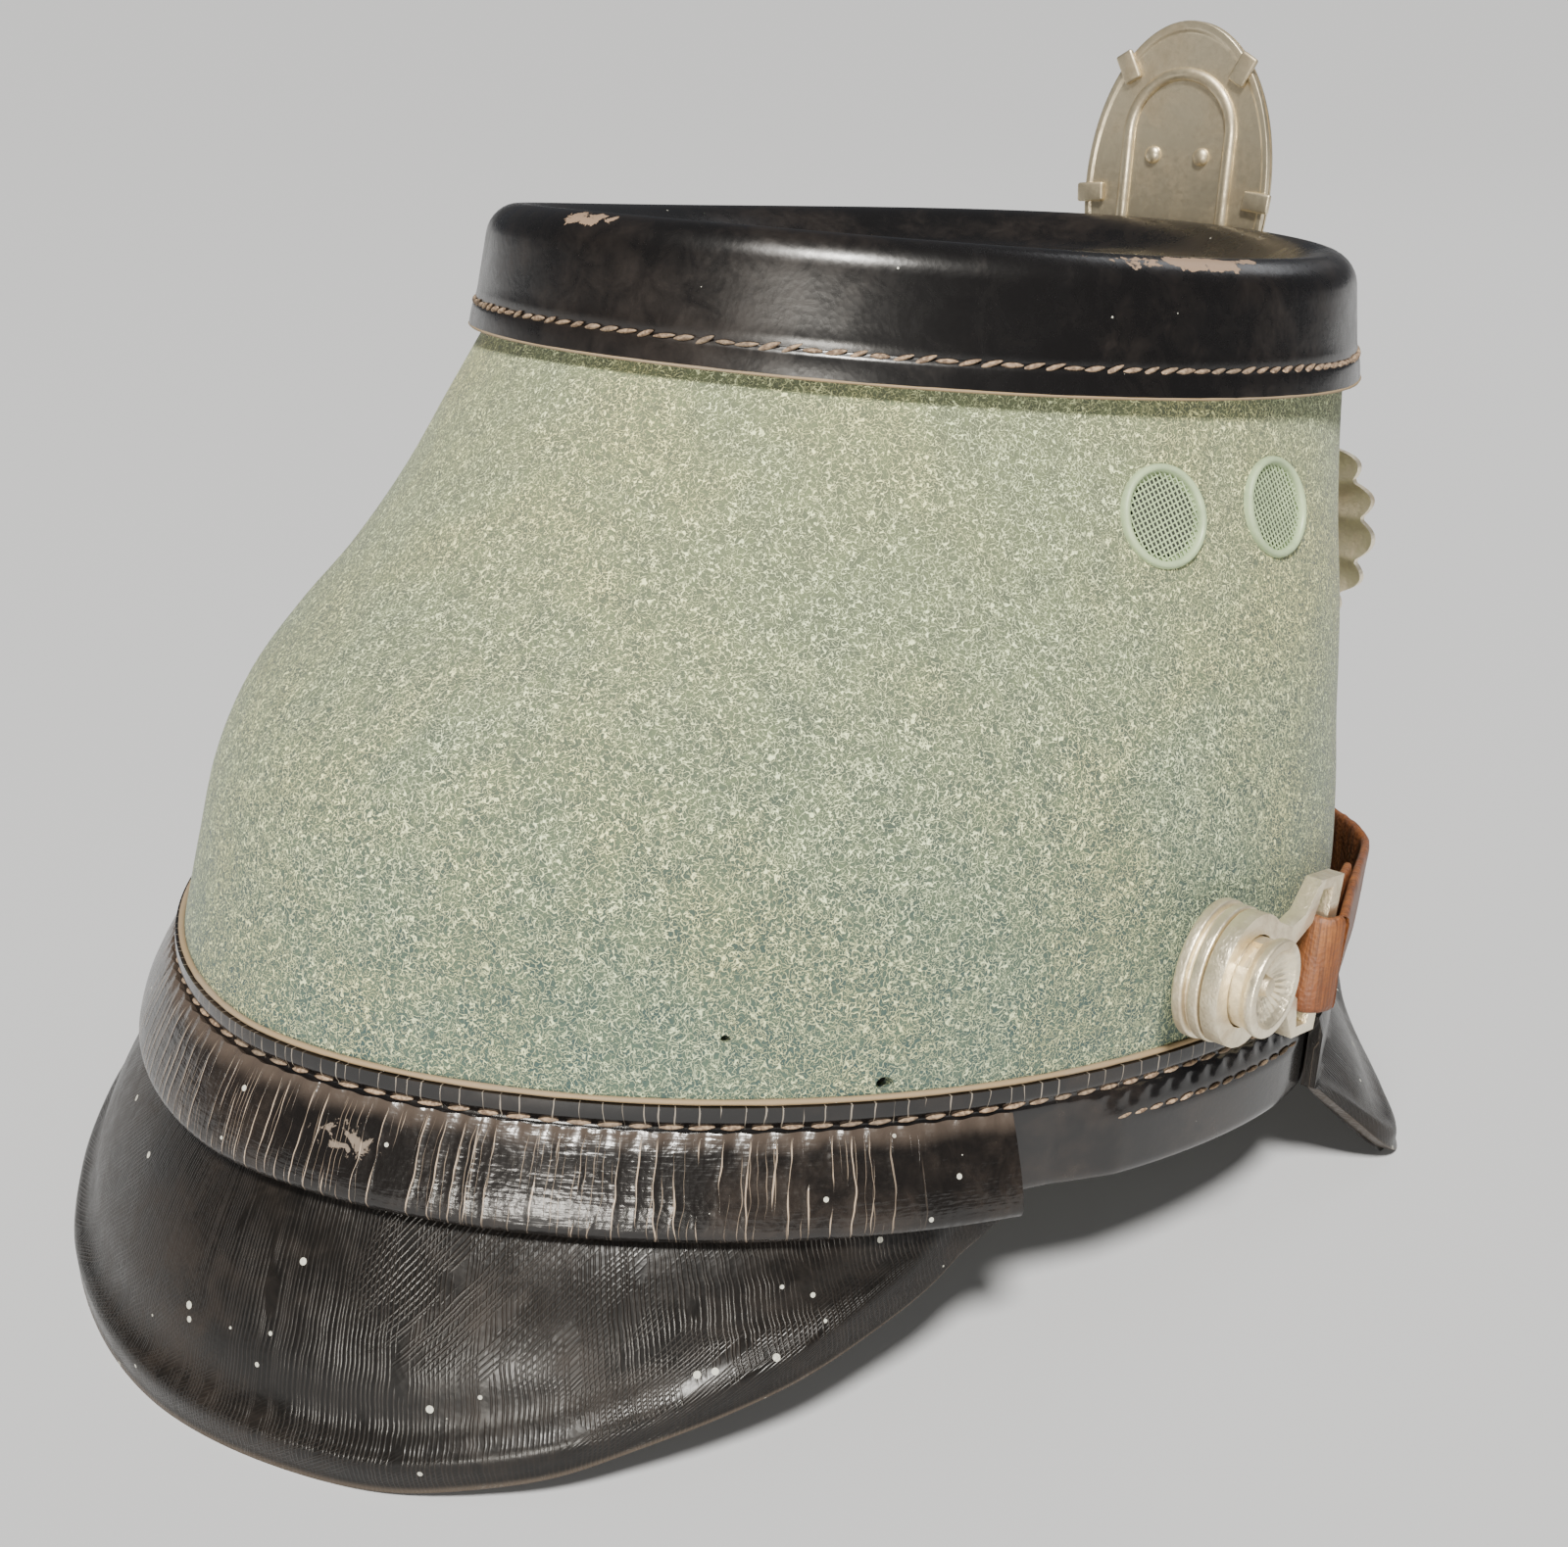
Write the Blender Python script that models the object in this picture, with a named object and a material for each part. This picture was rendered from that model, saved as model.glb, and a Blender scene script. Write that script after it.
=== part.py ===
"""A shako: a stiff, tall uniform hat that stands on its two peaks.

The hat is modelled upright in its own frame: the felt's foot lies near the plane z = 0, the front
looks towards -Y and the wearer's right towards -X. An empty tips it into the pose in which it stands
on a table, and the rims of the peaks are worked out in that pose, so that they lie flat on the table.
"""

import math
from collections import namedtuple

import bmesh
import bpy
from mathutils import Matrix, Vector

MM = 0.001
FIT_GAP = 0.3 * MM
ROUND_STEPS = 44

# The oval body
BASE_LENGTH = 209 * MM
BASE_WIDTH = 187 * MM
FELT_HEIGHT = 88 * MM
TOP_LENGTH = 150 * MM
TOP_WIDTH = 146 * MM
TOP_FORWARD = 31 * MM
BASE_POWER = 1.80
TOP_POWER = 1.90
WIDEST_PLACE = 0.44
SIDE_SAG = 2.2 * MM
REAR_SWELL = 9.4 * MM
SIDE_SWELL = 3.4 * MM
SHELL_WALL = 2.6 * MM

Section = namedtuple("Section", "height rear_swell side_swell")
BODY_SECTIONS = [
    Section(0.00, 0.00, 0.00),
    Section(0.14, 0.52, 0.72),
    Section(0.28, 1.05, 1.00),
    Section(0.40, 1.20, 0.92),
    Section(0.50, 0.90, 0.78),
    Section(0.60, 0.42, 0.52),
    Section(0.74, 0.14, 0.12),
    Section(0.88, 0.08, 0.00),
    Section(1.00, 0.00, 0.00),
]

# The crown cap
CROWN_HEIGHT = 19.5 * MM
RIM_LENGTH = 155 * MM
RIM_WIDTH = 142 * MM
RIM_FORWARD = 33 * MM
CROWN_WALL = 2.0 * MM
CROWN_LIP = 0.5 * MM
CROWN_LIP_HEIGHT = 3.0 * MM
RIM_ROUNDING = 4.6 * MM
DISH_DEPTH = 6.5 * MM
DISH_SLOPE = 15 * MM
SHELL_IN_CROWN = 11 * MM

# The leather round the foot
BASE_STRIP = 3.0 * MM
BASE_DEPTH = 16.5 * MM
BAND_WALL = 1.0 * MM
SKIRT_BULGE = 1.5 * MM
SKIRT_STITCH = 7.2 * MM
REAR_BAND_DEPTH = 16.5 * MM
REAR_BAND_BULGE = 7.6 * MM
REAR_BAND_WALL = 2.0 * MM
REAR_BAND_START = 29.0
SKIRT_END_REAR = 25.0
SKIRT_END_FRONT = -15.0
SKIRT_FADE = 5.0
SKIRT_FADE_FRONT = 7.5

# The peaks, and how the hat stands on them
REST_TILT = 5.5
STAND_HEIGHT = 40.7 * MM
PEAK_WALL = 2.2 * MM
REAR_PEAK_REACH = 22.5 * MM
REAR_PEAK_START = 30.0
FRONT_PEAK_REACH = 32 * MM
FRONT_PEAK_START = -7.5
PEAK_COLLAR = 6.0 * MM
PEAK_BULGE = 0.12

Roll = namedtuple("Roll", "fall swell")
REAR_BAND_ROLL = [
    Roll(0.00, 0.05),
    Roll(0.19, 0.33),
    Roll(0.42, 0.60),
    Roll(0.69, 0.87),
    Roll(0.92, 1.00),
    Roll(1.00, 0.93),
]

Rim = namedtuple("Rim", "along reach lift")
REAR_RIM = [
    Rim(0.00, 0.13, 0.93),
    Rim(0.05, 0.19, 0.76),
    Rim(0.10, 0.28, 0.62),
    Rim(0.17, 0.40, 0.49),
    Rim(0.25, 0.57, 0.39),
    Rim(0.33, 0.70, 0.31),
    Rim(0.42, 0.82, 0.22),
    Rim(0.50, 0.91, 0.13),
    Rim(0.58, 0.96, 0.07),
    Rim(0.67, 1.00, 0.02),
    Rim(0.76, 1.00, 0.00),
    Rim(1.00, 1.00, 0.00),
]
FRONT_RIM = [
    Rim(0.00, 0.16, 0.95),
    Rim(0.045, 0.30, 0.60),
    Rim(0.09, 0.46, 0.20),
    Rim(0.12, 0.51, 0.03),
    Rim(0.15, 0.50, 0.00),
    Rim(0.21, 0.43, 0.00),
    Rim(0.32, 0.35, 0.00),
    Rim(0.41, 0.38, 0.00),
    Rim(0.52, 0.55, 0.00),
    Rim(0.64, 0.71, 0.00),
    Rim(0.82, 0.92, 0.00),
    Rim(1.00, 1.00, 0.00),
]

# The vents, two on each side
VENT_WIDTH = 15.6 * MM
VENT_RIM = 2.0 * MM
VENT_STANDS = 0.9 * MM
VENT_SEAT = 1.0 * MM
VENT_LEDGE = 1.0 * MM
GAUZE_WALL = 0.6 * MM
VENT_HEIGHT = 72 * MM
VENT_TURNS = (22.0, 6.0)

# The lug, bracket and post at each side
LUG_WIDTH = 20.4 * MM
LUG_WALL = 3.9 * MM
LUG_TURN = 14.5
LUG_HEIGHT = 11.2 * MM
POST_WIDTH = 13 * MM
POST_LENGTH = 6.6 * MM
CAP_WIDTH = 14.3 * MM
CAP_RIM = 1.6 * MM
BRACKET_WALL = 2.6 * MM
BRACKET_WIDTH = 19.5 * MM
BRACKET_REACH = 23.8 * MM
BRACKET_SPAN = 24.5 * MM
BRACKET_BAR = 3.0 * MM
BRACKET_ARM = 1.6 * MM
BRACKET_DROOP = 7.0
WINDOW_WIDTH = 3.0 * MM
WINDOW_LENGTH = 5.0 * MM

# The chin strap
STRAP_WIDTH = 15 * MM
STRAP_WALL = 2.0 * MM
STRAP_DROP = 6 * MM
STRAP_SLIP = 0.9 * MM
STRAP_STANDS = 4.3 * MM
STRAP_FALL_TURN = 20.0
STRAP_TAIL = (-15.0, -10.0, -6.0)
LOOP_EASE = 0.9 * MM

# The cockade and the front badge
COCKADE_WIDTH = 41.5 * MM
COCKADE_HEIGHT = 64 * MM
COCKADE_CENTRE = 113 * MM
COCKADE_WALL = 1.0 * MM
COCKADE_STANDOFF = 8.5 * MM
COCKADE_DOME = 4.0 * MM
CHANNEL_WIDTH = 23 * MM
CHANNEL_RADIUS = 1.1 * MM
CHANNEL_TOP = 22 * MM
RIVET_WIDTH = 3.6 * MM
RIVET_SPACING = 11 * MM
TAB_WIDTH = 4.0 * MM
STEM_WIDTH = 8 * MM
BADGE_WIDTH = 116 * MM
BADGE_HEIGHT = 62 * MM
BADGE_CENTRE = 51.5 * MM
BADGE_DOME = 6.0 * MM
BADGE_WALL = 1.6 * MM
BADGE_RAYS = 28
BADGE_FLUTE = 0.9 * MM

TILT = Matrix.Rotation(math.radians(REST_TILT), 4, "X")
STAND = Matrix.Translation((0, 0, STAND_HEIGHT)) @ TILT
UNSTAND = STAND.inverted()


def clear_scene():
    for old in list(bpy.data.objects):
        bpy.data.objects.remove(old, do_unlink=True)


def material(name, colour, roughness, metallic=0.0):
    """One Principled material."""
    made = bpy.data.materials.new(name)
    made.use_nodes = True
    shader = made.node_tree.nodes["Principled BSDF"]
    shader.inputs["Base Color"].default_value = (*colour, 1)
    shader.inputs["Roughness"].default_value = roughness
    shader.inputs["Metallic"].default_value = metallic
    return made


def add_piece(name, mesh_data, look, stand):
    """Makes a mesh object of a bmesh, smooth where it is round, standing on the tilted empty."""
    bmesh.ops.recalc_face_normals(mesh_data, faces=mesh_data.faces)
    mesh = bpy.data.meshes.new(name)
    mesh_data.to_mesh(mesh)
    mesh_data.free()
    mesh.shade_smooth()
    mesh.set_sharp_from_angle(angle=math.radians(35))
    piece = bpy.data.objects.new(name, mesh)
    bpy.context.collection.objects.link(piece)
    piece.data.materials.append(look)
    piece.parent = stand
    return piece


def add_cutter(name, mesh_data, stand):
    """A cutter is a guide: it never shows and isn't part of the hat."""
    bmesh.ops.recalc_face_normals(mesh_data, faces=mesh_data.faces)
    mesh = bpy.data.meshes.new(name)
    mesh_data.to_mesh(mesh)
    mesh_data.free()
    cutter = bpy.data.objects.new(name, mesh)
    bpy.context.collection.objects.link(cutter)
    cutter.parent = stand
    cutter.hide_render = True
    cutter.display_type = "WIRE"
    return cutter


def cut(piece, cutter, operation="DIFFERENCE"):
    change = piece.modifiers.new(cutter.name, "BOOLEAN")
    change.operation = operation
    change.solver = "EXACT"
    change.object = cutter


def smooth_value(rows, column, place):
    """Reads a column of a table on a smooth curve; the table's first column is the place."""
    places = [row[0] for row in rows]
    values = [getattr(row, column) for row in rows]
    last = len(rows) - 1
    place = min(max(place, places[0]), places[-1])
    i = max(k for k in range(last) if places[k] <= place) if place > places[0] else 0
    width = places[i + 1] - places[i]

    def slope(k):
        low, high = max(k - 1, 0), min(k + 1, last)
        return (values[high] - values[low]) / (places[high] - places[low])

    t = (place - places[i]) / width
    return ((2 * t**3 - 3 * t**2 + 1) * values[i] + (t**3 - 2 * t**2 + t) * width * slope(i)
            + (3 * t**2 - 2 * t**3) * values[i + 1] + (t**3 - t**2) * width * slope(i + 1))


def mix(a, b, share):
    return a + (b - a) * share


def body_oval(z):
    """The front, the rear and the half width of the felt's outside at a height."""
    base = (-BASE_LENGTH / 2, BASE_LENGTH / 2, BASE_WIDTH / 2)
    top = (-TOP_FORWARD - TOP_LENGTH / 2, -TOP_FORWARD + TOP_LENGTH / 2, TOP_WIDTH / 2)
    inside = CROWN_WALL + FIT_GAP
    rim = (-RIM_FORWARD - RIM_LENGTH / 2 + inside, -RIM_FORWARD + RIM_LENGTH / 2 - inside,
           RIM_WIDTH / 2 - inside)
    if z <= 0:
        return base
    if z >= FELT_HEIGHT:
        share = min((z - FELT_HEIGHT) / CROWN_HEIGHT, 1.0)
        return tuple(mix(a, b, share) for a, b in zip(top, rim))
    share = z / FELT_HEIGHT
    front, rear, half_width = (mix(a, b, share) for a, b in zip(base, top))
    rear += REAR_SWELL * smooth_value(BODY_SECTIONS, "rear_swell", share)
    half_width += SIDE_SWELL * smooth_value(BODY_SECTIONS, "side_swell", share)
    return front, rear, half_width


def on_body(turn, z, grow=0.0):
    """A point on the body, or grow outside it: turn is 0 at the wearer's right, 90 at the rear."""
    front, rear, half_width = body_oval(z)
    middle = mix(front, rear, WIDEST_PLACE)
    across, along = math.cos(math.radians(turn)), math.sin(math.radians(turn))
    power = 2 / mix(BASE_POWER, TOP_POWER, min(max(z / FELT_HEIGHT, 0), 1))
    reach = (rear - middle if along >= 0 else middle - front) + grow
    x = -(half_width + grow) * math.copysign(abs(across) ** power, across)
    y = middle + reach * math.copysign(abs(along) ** power, along)
    return Vector((x, y, z - SIDE_SAG * across**2))


def outward(turn, z):
    """The level direction that points straight away from the body."""
    step = on_body(turn + 0.5, z) - on_body(turn - 0.5, z)
    away = Vector((step.y, -step.x, 0)).normalized()
    return away if away.dot(on_body(turn, z) - Vector((0, on_body(0, z).y, 0))) > 0 else -away


def skin(sections, closed_round, closed_ends):
    """A bmesh skinned over sections with equal point counts; each section is a closed loop."""
    bm = bmesh.new()
    rows = [[bm.verts.new(point) for point in section] for section in sections]
    count = len(rows[0])
    pairs = list(zip(rows, rows[1:]))
    if closed_round:
        pairs.append((rows[-1], rows[0]))
    for row, following in pairs:
        for k in range(count):
            after = (k + 1) % count
            bm.faces.new((row[k], row[after], following[after], following[k]))
    if closed_ends:
        for row in (rows[0], rows[-1]):
            for face in (row,):
                bm.faces.new(face)
    return bm


def turns(start, end, steps):
    return [mix(start, end, k / steps) for k in range(steps + 1)]


def make_shell(look, stand):
    """The felt body: an open tube whose skin gets its thickness inwards."""
    heights = [-BASE_DEPTH + 1.0 * MM, -9 * MM, -BASE_STRIP / 2]
    heights += [FELT_HEIGHT * share for share in (0.08, 0.19, 0.30, 0.40, 0.50, 0.60, 0.72, 0.86)]
    heights += [FELT_HEIGHT, FELT_HEIGHT + SHELL_IN_CROWN]
    bm = bmesh.new()
    rows = []
    for z in heights:
        rows.append([bm.verts.new(on_body(360 * k / ROUND_STEPS, z)) for k in range(ROUND_STEPS)])
    for low, high in zip(rows, rows[1:]):
        for k in range(ROUND_STEPS):
            after = (k + 1) % ROUND_STEPS
            bm.faces.new((low[k], high[k], high[after], low[after]))
    shell = add_piece("shell", bm, look, stand)
    face = shell.data.polygons[0]
    wall = shell.modifiers.new("wall", "SOLIDIFY")
    wall.thickness = SHELL_WALL
    wall.offset = -1 if face.normal.dot(face.center * Vector((1, 1, 0))) > 0 else 1
    wall.use_even_offset = True
    return shell


def make_crown_cap(look, stand):
    """The leather cap: side wall with a lip below, a rounded rim and a dished top."""
    outside = CROWN_WALL + FIT_GAP
    rim = FELT_HEIGHT + CROWN_HEIGHT
    profile = [(FELT_HEIGHT, outside + CROWN_LIP), (FELT_HEIGHT + CROWN_LIP_HEIGHT, outside + CROWN_LIP),
               (FELT_HEIGHT + CROWN_LIP_HEIGHT + CROWN_LIP, outside), (rim - RIM_ROUNDING, outside)]
    for angle in (30, 60, 90):
        bend = math.radians(angle)
        profile.append((rim - RIM_ROUNDING * (1 - math.sin(bend)),
                        outside - RIM_ROUNDING * (1 - math.cos(bend))))
    for share in (0.35, 0.7, 1.0):
        fall = DISH_DEPTH * (0.5 - 0.5 * math.cos(math.pi * share))
        profile.append((rim - fall, outside - RIM_ROUNDING - DISH_SLOPE * share))
    bm = bmesh.new()
    rows = []
    for z, grow in profile:
        at = min(z, rim) if grow >= outside - RIM_ROUNDING else rim
        ring = []
        for k in range(ROUND_STEPS):
            point = on_body(360 * k / ROUND_STEPS, at, grow)
            ring.append(bm.verts.new((point.x, point.y, point.z - at + z)))
        rows.append(ring)
    for low, high in zip(rows, rows[1:]):
        for k in range(ROUND_STEPS):
            after = (k + 1) % ROUND_STEPS
            bm.faces.new((low[k], high[k], high[after], low[after]))
    middle = sum((vert.co for vert in rows[-1]), Vector()) / ROUND_STEPS
    centre = bm.verts.new(middle)
    for k in range(ROUND_STEPS):
        bm.faces.new((rows[-1][k], centre, rows[-1][(k + 1) % ROUND_STEPS]))
    crown = add_piece("crown_cap", bm, look, stand)
    top = max(crown.data.polygons, key=lambda face: face.normal.z if face.area > 0 else -1)
    wall = crown.modifiers.new("wall", "SOLIDIFY")
    wall.thickness = CROWN_WALL
    wall.offset = -1 if top.normal.z > 0.5 else 1
    wall.use_even_offset = True
    return crown


def skirt_share(turn):
    """1 where the foot's leather bulges as a side skirt, 0 where a peak's leather lies over it."""
    turn = (turn + 180) % 360 - 180
    if abs(turn) > 90:
        turn = math.copysign(180, turn) - turn
    rear = min(max((SKIRT_END_REAR - turn) / SKIRT_FADE, 0), 1)
    front = min(max((turn - SKIRT_END_FRONT) / SKIRT_FADE_FRONT, 0), 1)
    return rear * front


def foot_outside(turn, z):
    """How far the foot's leather stands out from the felt."""
    flat = FIT_GAP + BAND_WALL
    if z > -BASE_STRIP:
        return flat
    share = min((-z - BASE_STRIP) / (SKIRT_STITCH - BASE_STRIP), 1)
    return flat + SKIRT_BULGE * skirt_share(turn) * share


def make_base_band(look, stand):
    """The leather sewn round the foot, with its two side skirts."""
    def section(turn):
        levels = [0, -BASE_STRIP, -BASE_STRIP * 1.5, -SKIRT_STITCH, -BASE_DEPTH * 0.8, -BASE_DEPTH]
        outer = [on_body(turn, z, foot_outside(turn, z)) for z in levels]
        inner = [on_body(turn, z, FIT_GAP) for z in (-BASE_DEPTH, -BASE_DEPTH / 2, 0)]
        return outer + inner
    sections = [section(7.5 * k) for k in range(48)]
    return add_piece("base_band", skin(sections, True, False), look, stand)


def make_rear_band(look, stand):
    """The wide rolled band that covers the joint of the rear peak."""
    top, depth, bulge = BASE_STRIP + 0.5 * MM, REAR_BAND_DEPTH, REAR_BAND_BULGE
    seat = FIT_GAP * 2 + BAND_WALL
    over_peak = seat + PEAK_WALL + FIT_GAP
    collar_top = BASE_DEPTH - PEAK_COLLAR

    def section(turn):
        outer = [(-mix(top, depth, fall), mix(seat, bulge, swell)) for fall, swell in REAR_BAND_ROLL]
        inner = [(-depth, bulge - REAR_BAND_WALL * 1.2), (-collar_top + 1.2 * MM, over_peak),
                 (-mix(top, collar_top, 0.4), mix(seat, over_peak, 0.4)), (-top, seat)]
        return [on_body(turn, z, grow) for z, grow in outer + inner]
    sections = [section(turn) for turn in turns(REAR_BAND_START, 180 - REAR_BAND_START, 26)]
    return add_piece("rear_band", skin(sections, False, True), look, stand)


def make_peak(name, rows, start, reach, steps, look, stand):
    """A stiff peak: a collar under the foot's leather, then a flare down to a rim on the table."""
    middle = math.copysign(90, start)

    def section(turn, along):
        levels = [-(BASE_DEPTH - PEAK_COLLAR), -BASE_DEPTH]
        if start < 0:
            levels = [-BASE_STRIP * 1.5, -SKIRT_STITCH, -BASE_DEPTH]
        collar = [(z, foot_outside(turn, z) + FIT_GAP) for z in levels]
        away = outward(turn, 0)
        outer = [STAND @ on_body(turn, z, grow + PEAK_WALL) for z, grow in collar]
        foot = STAND @ on_body(turn, 0)
        rim = foot + away * reach * smooth_value(rows, "reach", along)
        rim.z = outer[-1].z * max(smooth_value(rows, "lift", along), 0)
        if rim.z < 0.02 * MM:
            rim.z = 0.0
        least = (outer[-1] - foot).dot(away)
        if (rim - foot).dot(away) < least:
            rim += away * (least - (rim - foot).dot(away))
        neck = outer[-1].copy()
        flare = rim - neck
        bend = neck + flare / 2 + (away * -flare.z + Vector((0, 0, away.dot(flare)))) * PEAK_BULGE
        for share in (0.25, 0.5, 0.75, 1.0):
            a, b = neck.lerp(bend, share), bend.lerp(rim, share)
            outer.append(a.lerp(b, share))
        inner = []
        for k, point in enumerate(outer):
            before, after = outer[max(k - 1, 0)], outer[min(k + 1, len(outer) - 1)]
            slope = (after - before).normalized()
            if k in (0, len(outer) - 1):
                slope = Vector((0, 0, -1))
            normal = (away - slope * away.dot(slope)).normalized()
            inner.append(point - normal * PEAK_WALL)
        return [UNSTAND @ point for point in outer + inner[::-1]]
    sections = []
    for k in range(steps + 1):
        turn = mix(start, math.copysign(180, start) - start, k / steps)
        along = 1 - abs(turn - middle) / abs(middle - start)
        sections.append(section(turn, along))
    return add_piece(name, skin(sections, False, True), look, stand)


def turned(profile, sides, matrix):
    """A solid turned about its local Z from (radius, height) pairs; matrix places it."""
    bm = bmesh.new()
    rows = []
    for radius, height in profile:
        rows.append([bm.verts.new(matrix @ Vector((radius * math.cos(2 * math.pi * k / sides),
                                                   radius * math.sin(2 * math.pi * k / sides), height)))
                     for k in range(sides)])
    for low, high in zip(rows, rows[1:]):
        for k in range(sides):
            after = (k + 1) % sides
            bm.faces.new((low[k], low[after], high[after], high[k]))
    bm.faces.new(rows[0])
    bm.faces.new(rows[-1])
    return bm


def ring_turned(profile, sides, matrix):
    """A turned ring: its profile is a closed loop that stays clear of the axis."""
    sections = []
    for k in range(sides):
        angle = 2 * math.pi * k / sides
        sections.append([matrix @ Vector((radius * math.cos(angle), radius * math.sin(angle), height))
                         for radius, height in profile])
    return skin(sections, True, False)


def frame_on_body(turn, z):
    """A matrix whose Z axis leaves the felt squarely at a place, with Y up."""
    place = on_body(turn, z)
    along = on_body(turn + 1, z) - on_body(turn - 1, z)
    up = on_body(turn, z + 2 * MM) - on_body(turn, z - 2 * MM)
    normal = along.cross(up).normalized()
    if normal.dot(outward(turn, z)) < 0:
        normal = -normal
    side = up.cross(normal).normalized()
    lift = normal.cross(side)
    turned_to = Matrix((side, lift, normal)).transposed().to_4x4()
    return Matrix.Translation(place) @ turned_to


def make_vents(rim_look, gauze_look, shell, stand):
    """Two vents on each side: a seat cut in the felt, a gauze on its ledge and a rim round it."""
    outer = VENT_WIDTH / 2
    inner = outer - VENT_RIM
    gauze = inner - FIT_GAP
    ledge = gauze - VENT_LEDGE
    for side, mirror in (("R", 1), ("L", -1)):
        for number, turn in enumerate(VENT_TURNS, 1):
            where = frame_on_body(turn if mirror > 0 else 180 - turn, VENT_HEIGHT)
            seat = turned([(ledge, -3 * SHELL_WALL), (ledge, -VENT_SEAT), (outer + FIT_GAP, -VENT_SEAT),
                           (outer + FIT_GAP, 3 * VENT_SEAT)], 20, where)
            cut(shell, add_cutter(f"vent_seat_{side}{number}", seat, stand))
            low, high = FIT_GAP - VENT_SEAT, VENT_STANDS
            edge = VENT_RIM * 0.3
            rim = ring_turned([(outer, low), (outer, high - edge), (outer - edge, high),
                               (inner + edge, high), (inner, high - edge), (inner, low)], 20, where)
            add_piece(f"vent_rim_{side}{number}", rim, rim_look, stand)
            disc = turned([(gauze, low), (gauze, low + GAUZE_WALL)], 20, where)
            add_piece(f"vent_gauze_{side}{number}", disc, gauze_look, stand)


def lug_frame(mirror):
    """A matrix at the lug's axis on the felt: Z points outwards, X to the front, Y up."""
    place = on_body(LUG_TURN, LUG_HEIGHT)
    widest = max(-on_body(turn, LUG_HEIGHT).x for turn in (0, LUG_TURN / 2, LUG_TURN))
    origin = Vector((-widest - FIT_GAP, place.y, LUG_HEIGHT))
    droop = Matrix.Rotation(math.radians(-BRACKET_DROOP), 4, "Z")
    axes = Matrix(((0, 0, -1), (-1, 0, 0), (0, 1, 0))).to_4x4()
    frame = Matrix.Translation(origin) @ axes @ droop
    if mirror < 0:
        frame = Matrix.Scale(-1, 4, (1, 0, 0)) @ frame
    return frame


def plate(outline, low, high, matrix):
    """A flat plate of an outline, between two heights over its plane."""
    bm = bmesh.new()
    rows = [[bm.verts.new(matrix @ Vector((x, y, z))) for x, y in outline] for z in (low, high)]
    bm.faces.new(rows[0])
    bm.faces.new(rows[1])
    count = len(outline)
    for k in range(count):
        after = (k + 1) % count
        bm.faces.new((rows[0][k], rows[0][after], rows[1][after], rows[1][k]))
    return bm


def bracket_outline():
    """Ring, two arms and the bar's outer edge, seen along the lug's axis."""
    ring, half = BRACKET_WIDTH / 2, BRACKET_SPAN / 2
    leaves = math.radians(52)
    points = []
    for k in range(21):
        angle = leaves + (2 * math.pi - 2 * leaves) * k / 20
        points.append((ring * math.cos(angle), ring * math.sin(angle)))
    lower = [(BRACKET_REACH * 0.44, -ring * 0.64), (BRACKET_REACH * 0.60, -ring * 0.78),
             (BRACKET_REACH * 0.75, -half), (BRACKET_REACH + BRACKET_BAR / 2, -half)]
    upper = [(x, -y) for x, y in reversed(lower)]
    return points + lower + upper


def make_lugs(look, stand):
    """Base disc, swinging strap bracket and turned post with its cap, one set on each side."""
    base_top = LUG_WALL
    bracket_low = base_top + FIT_GAP
    bracket_high = bracket_low + BRACKET_WALL
    bore = POST_WIDTH / 2 + FIT_GAP
    for side, mirror in (("R", 1), ("L", -1)):
        frame = lug_frame(mirror)
        radius = LUG_WIDTH / 2
        soft = 0.5 * MM
        base = turned([(radius, 0), (radius, base_top - soft), (radius - soft, base_top)], 28, frame)
        add_piece(f"lug_base_{side}", base, look, stand)

        bracket = add_piece(f"strap_bracket_{side}",
                            plate(bracket_outline(), bracket_low, bracket_high, frame), look, stand)
        hole = turned([(bore, bracket_low - 2 * MM), (bore, bracket_high + 2 * MM)], 28, frame)
        cut(bracket, add_cutter(f"bracket_bore_{side}", hole, stand))
        bar, half = BRACKET_REACH - BRACKET_BAR / 2, BRACKET_SPAN / 2
        inside, near = half - BRACKET_ARM, BRACKET_WIDTH / 2 + BRACKET_ARM
        passage = bar - LOOP_EASE - STRAP_WALL - 2 * FIT_GAP
        window = [(near, -inside * 0.25), (passage - BRACKET_ARM, -inside * 0.55), (passage, -inside),
                  (bar, -inside), (bar, inside), (passage, inside),
                  (passage - BRACKET_ARM, inside * 0.55), (near, inside * 0.25)]
        slot = plate(window, bracket_low - 2 * MM, bracket_high + 2 * MM, frame)
        cut(bracket, add_cutter(f"bracket_slot_{side}", slot, stand))

        post, cap = POST_WIDTH / 2, CAP_WIDTH / 2
        top = bracket_low + POST_LENGTH
        dish = cap - CAP_RIM
        shape = [(post, bracket_low), (post, top - 2.2 * MM), (cap, top - 1.2 * MM), (cap, top - 0.3 * MM),
                 (cap - 0.5 * MM, top), (dish + 0.4 * MM, top), (dish * 0.45, top - 1.6 * MM),
                 (dish * 0.22, top - 0.7 * MM)]
        post_piece = add_piece(f"lug_post_{side}", turned(shape, 28, frame), look, stand)
        middle = mix(bracket_high, top - 2.2 * MM, 0.5)
        turn = Matrix.Rotation(math.radians(128), 4, "Z")
        box = [(post - 2.0 * MM, -WINDOW_LENGTH / 2), (post + 2 * MM, -WINDOW_LENGTH / 2),
               (post + 2 * MM, WINDOW_LENGTH / 2), (post - 2.0 * MM, WINDOW_LENGTH / 2)]
        pocket = plate(box, middle - WINDOW_WIDTH / 2, middle + WINDOW_WIDTH / 2, frame @ turn)
        cut(post_piece, add_cutter(f"post_window_{side}", pocket, stand))


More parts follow.
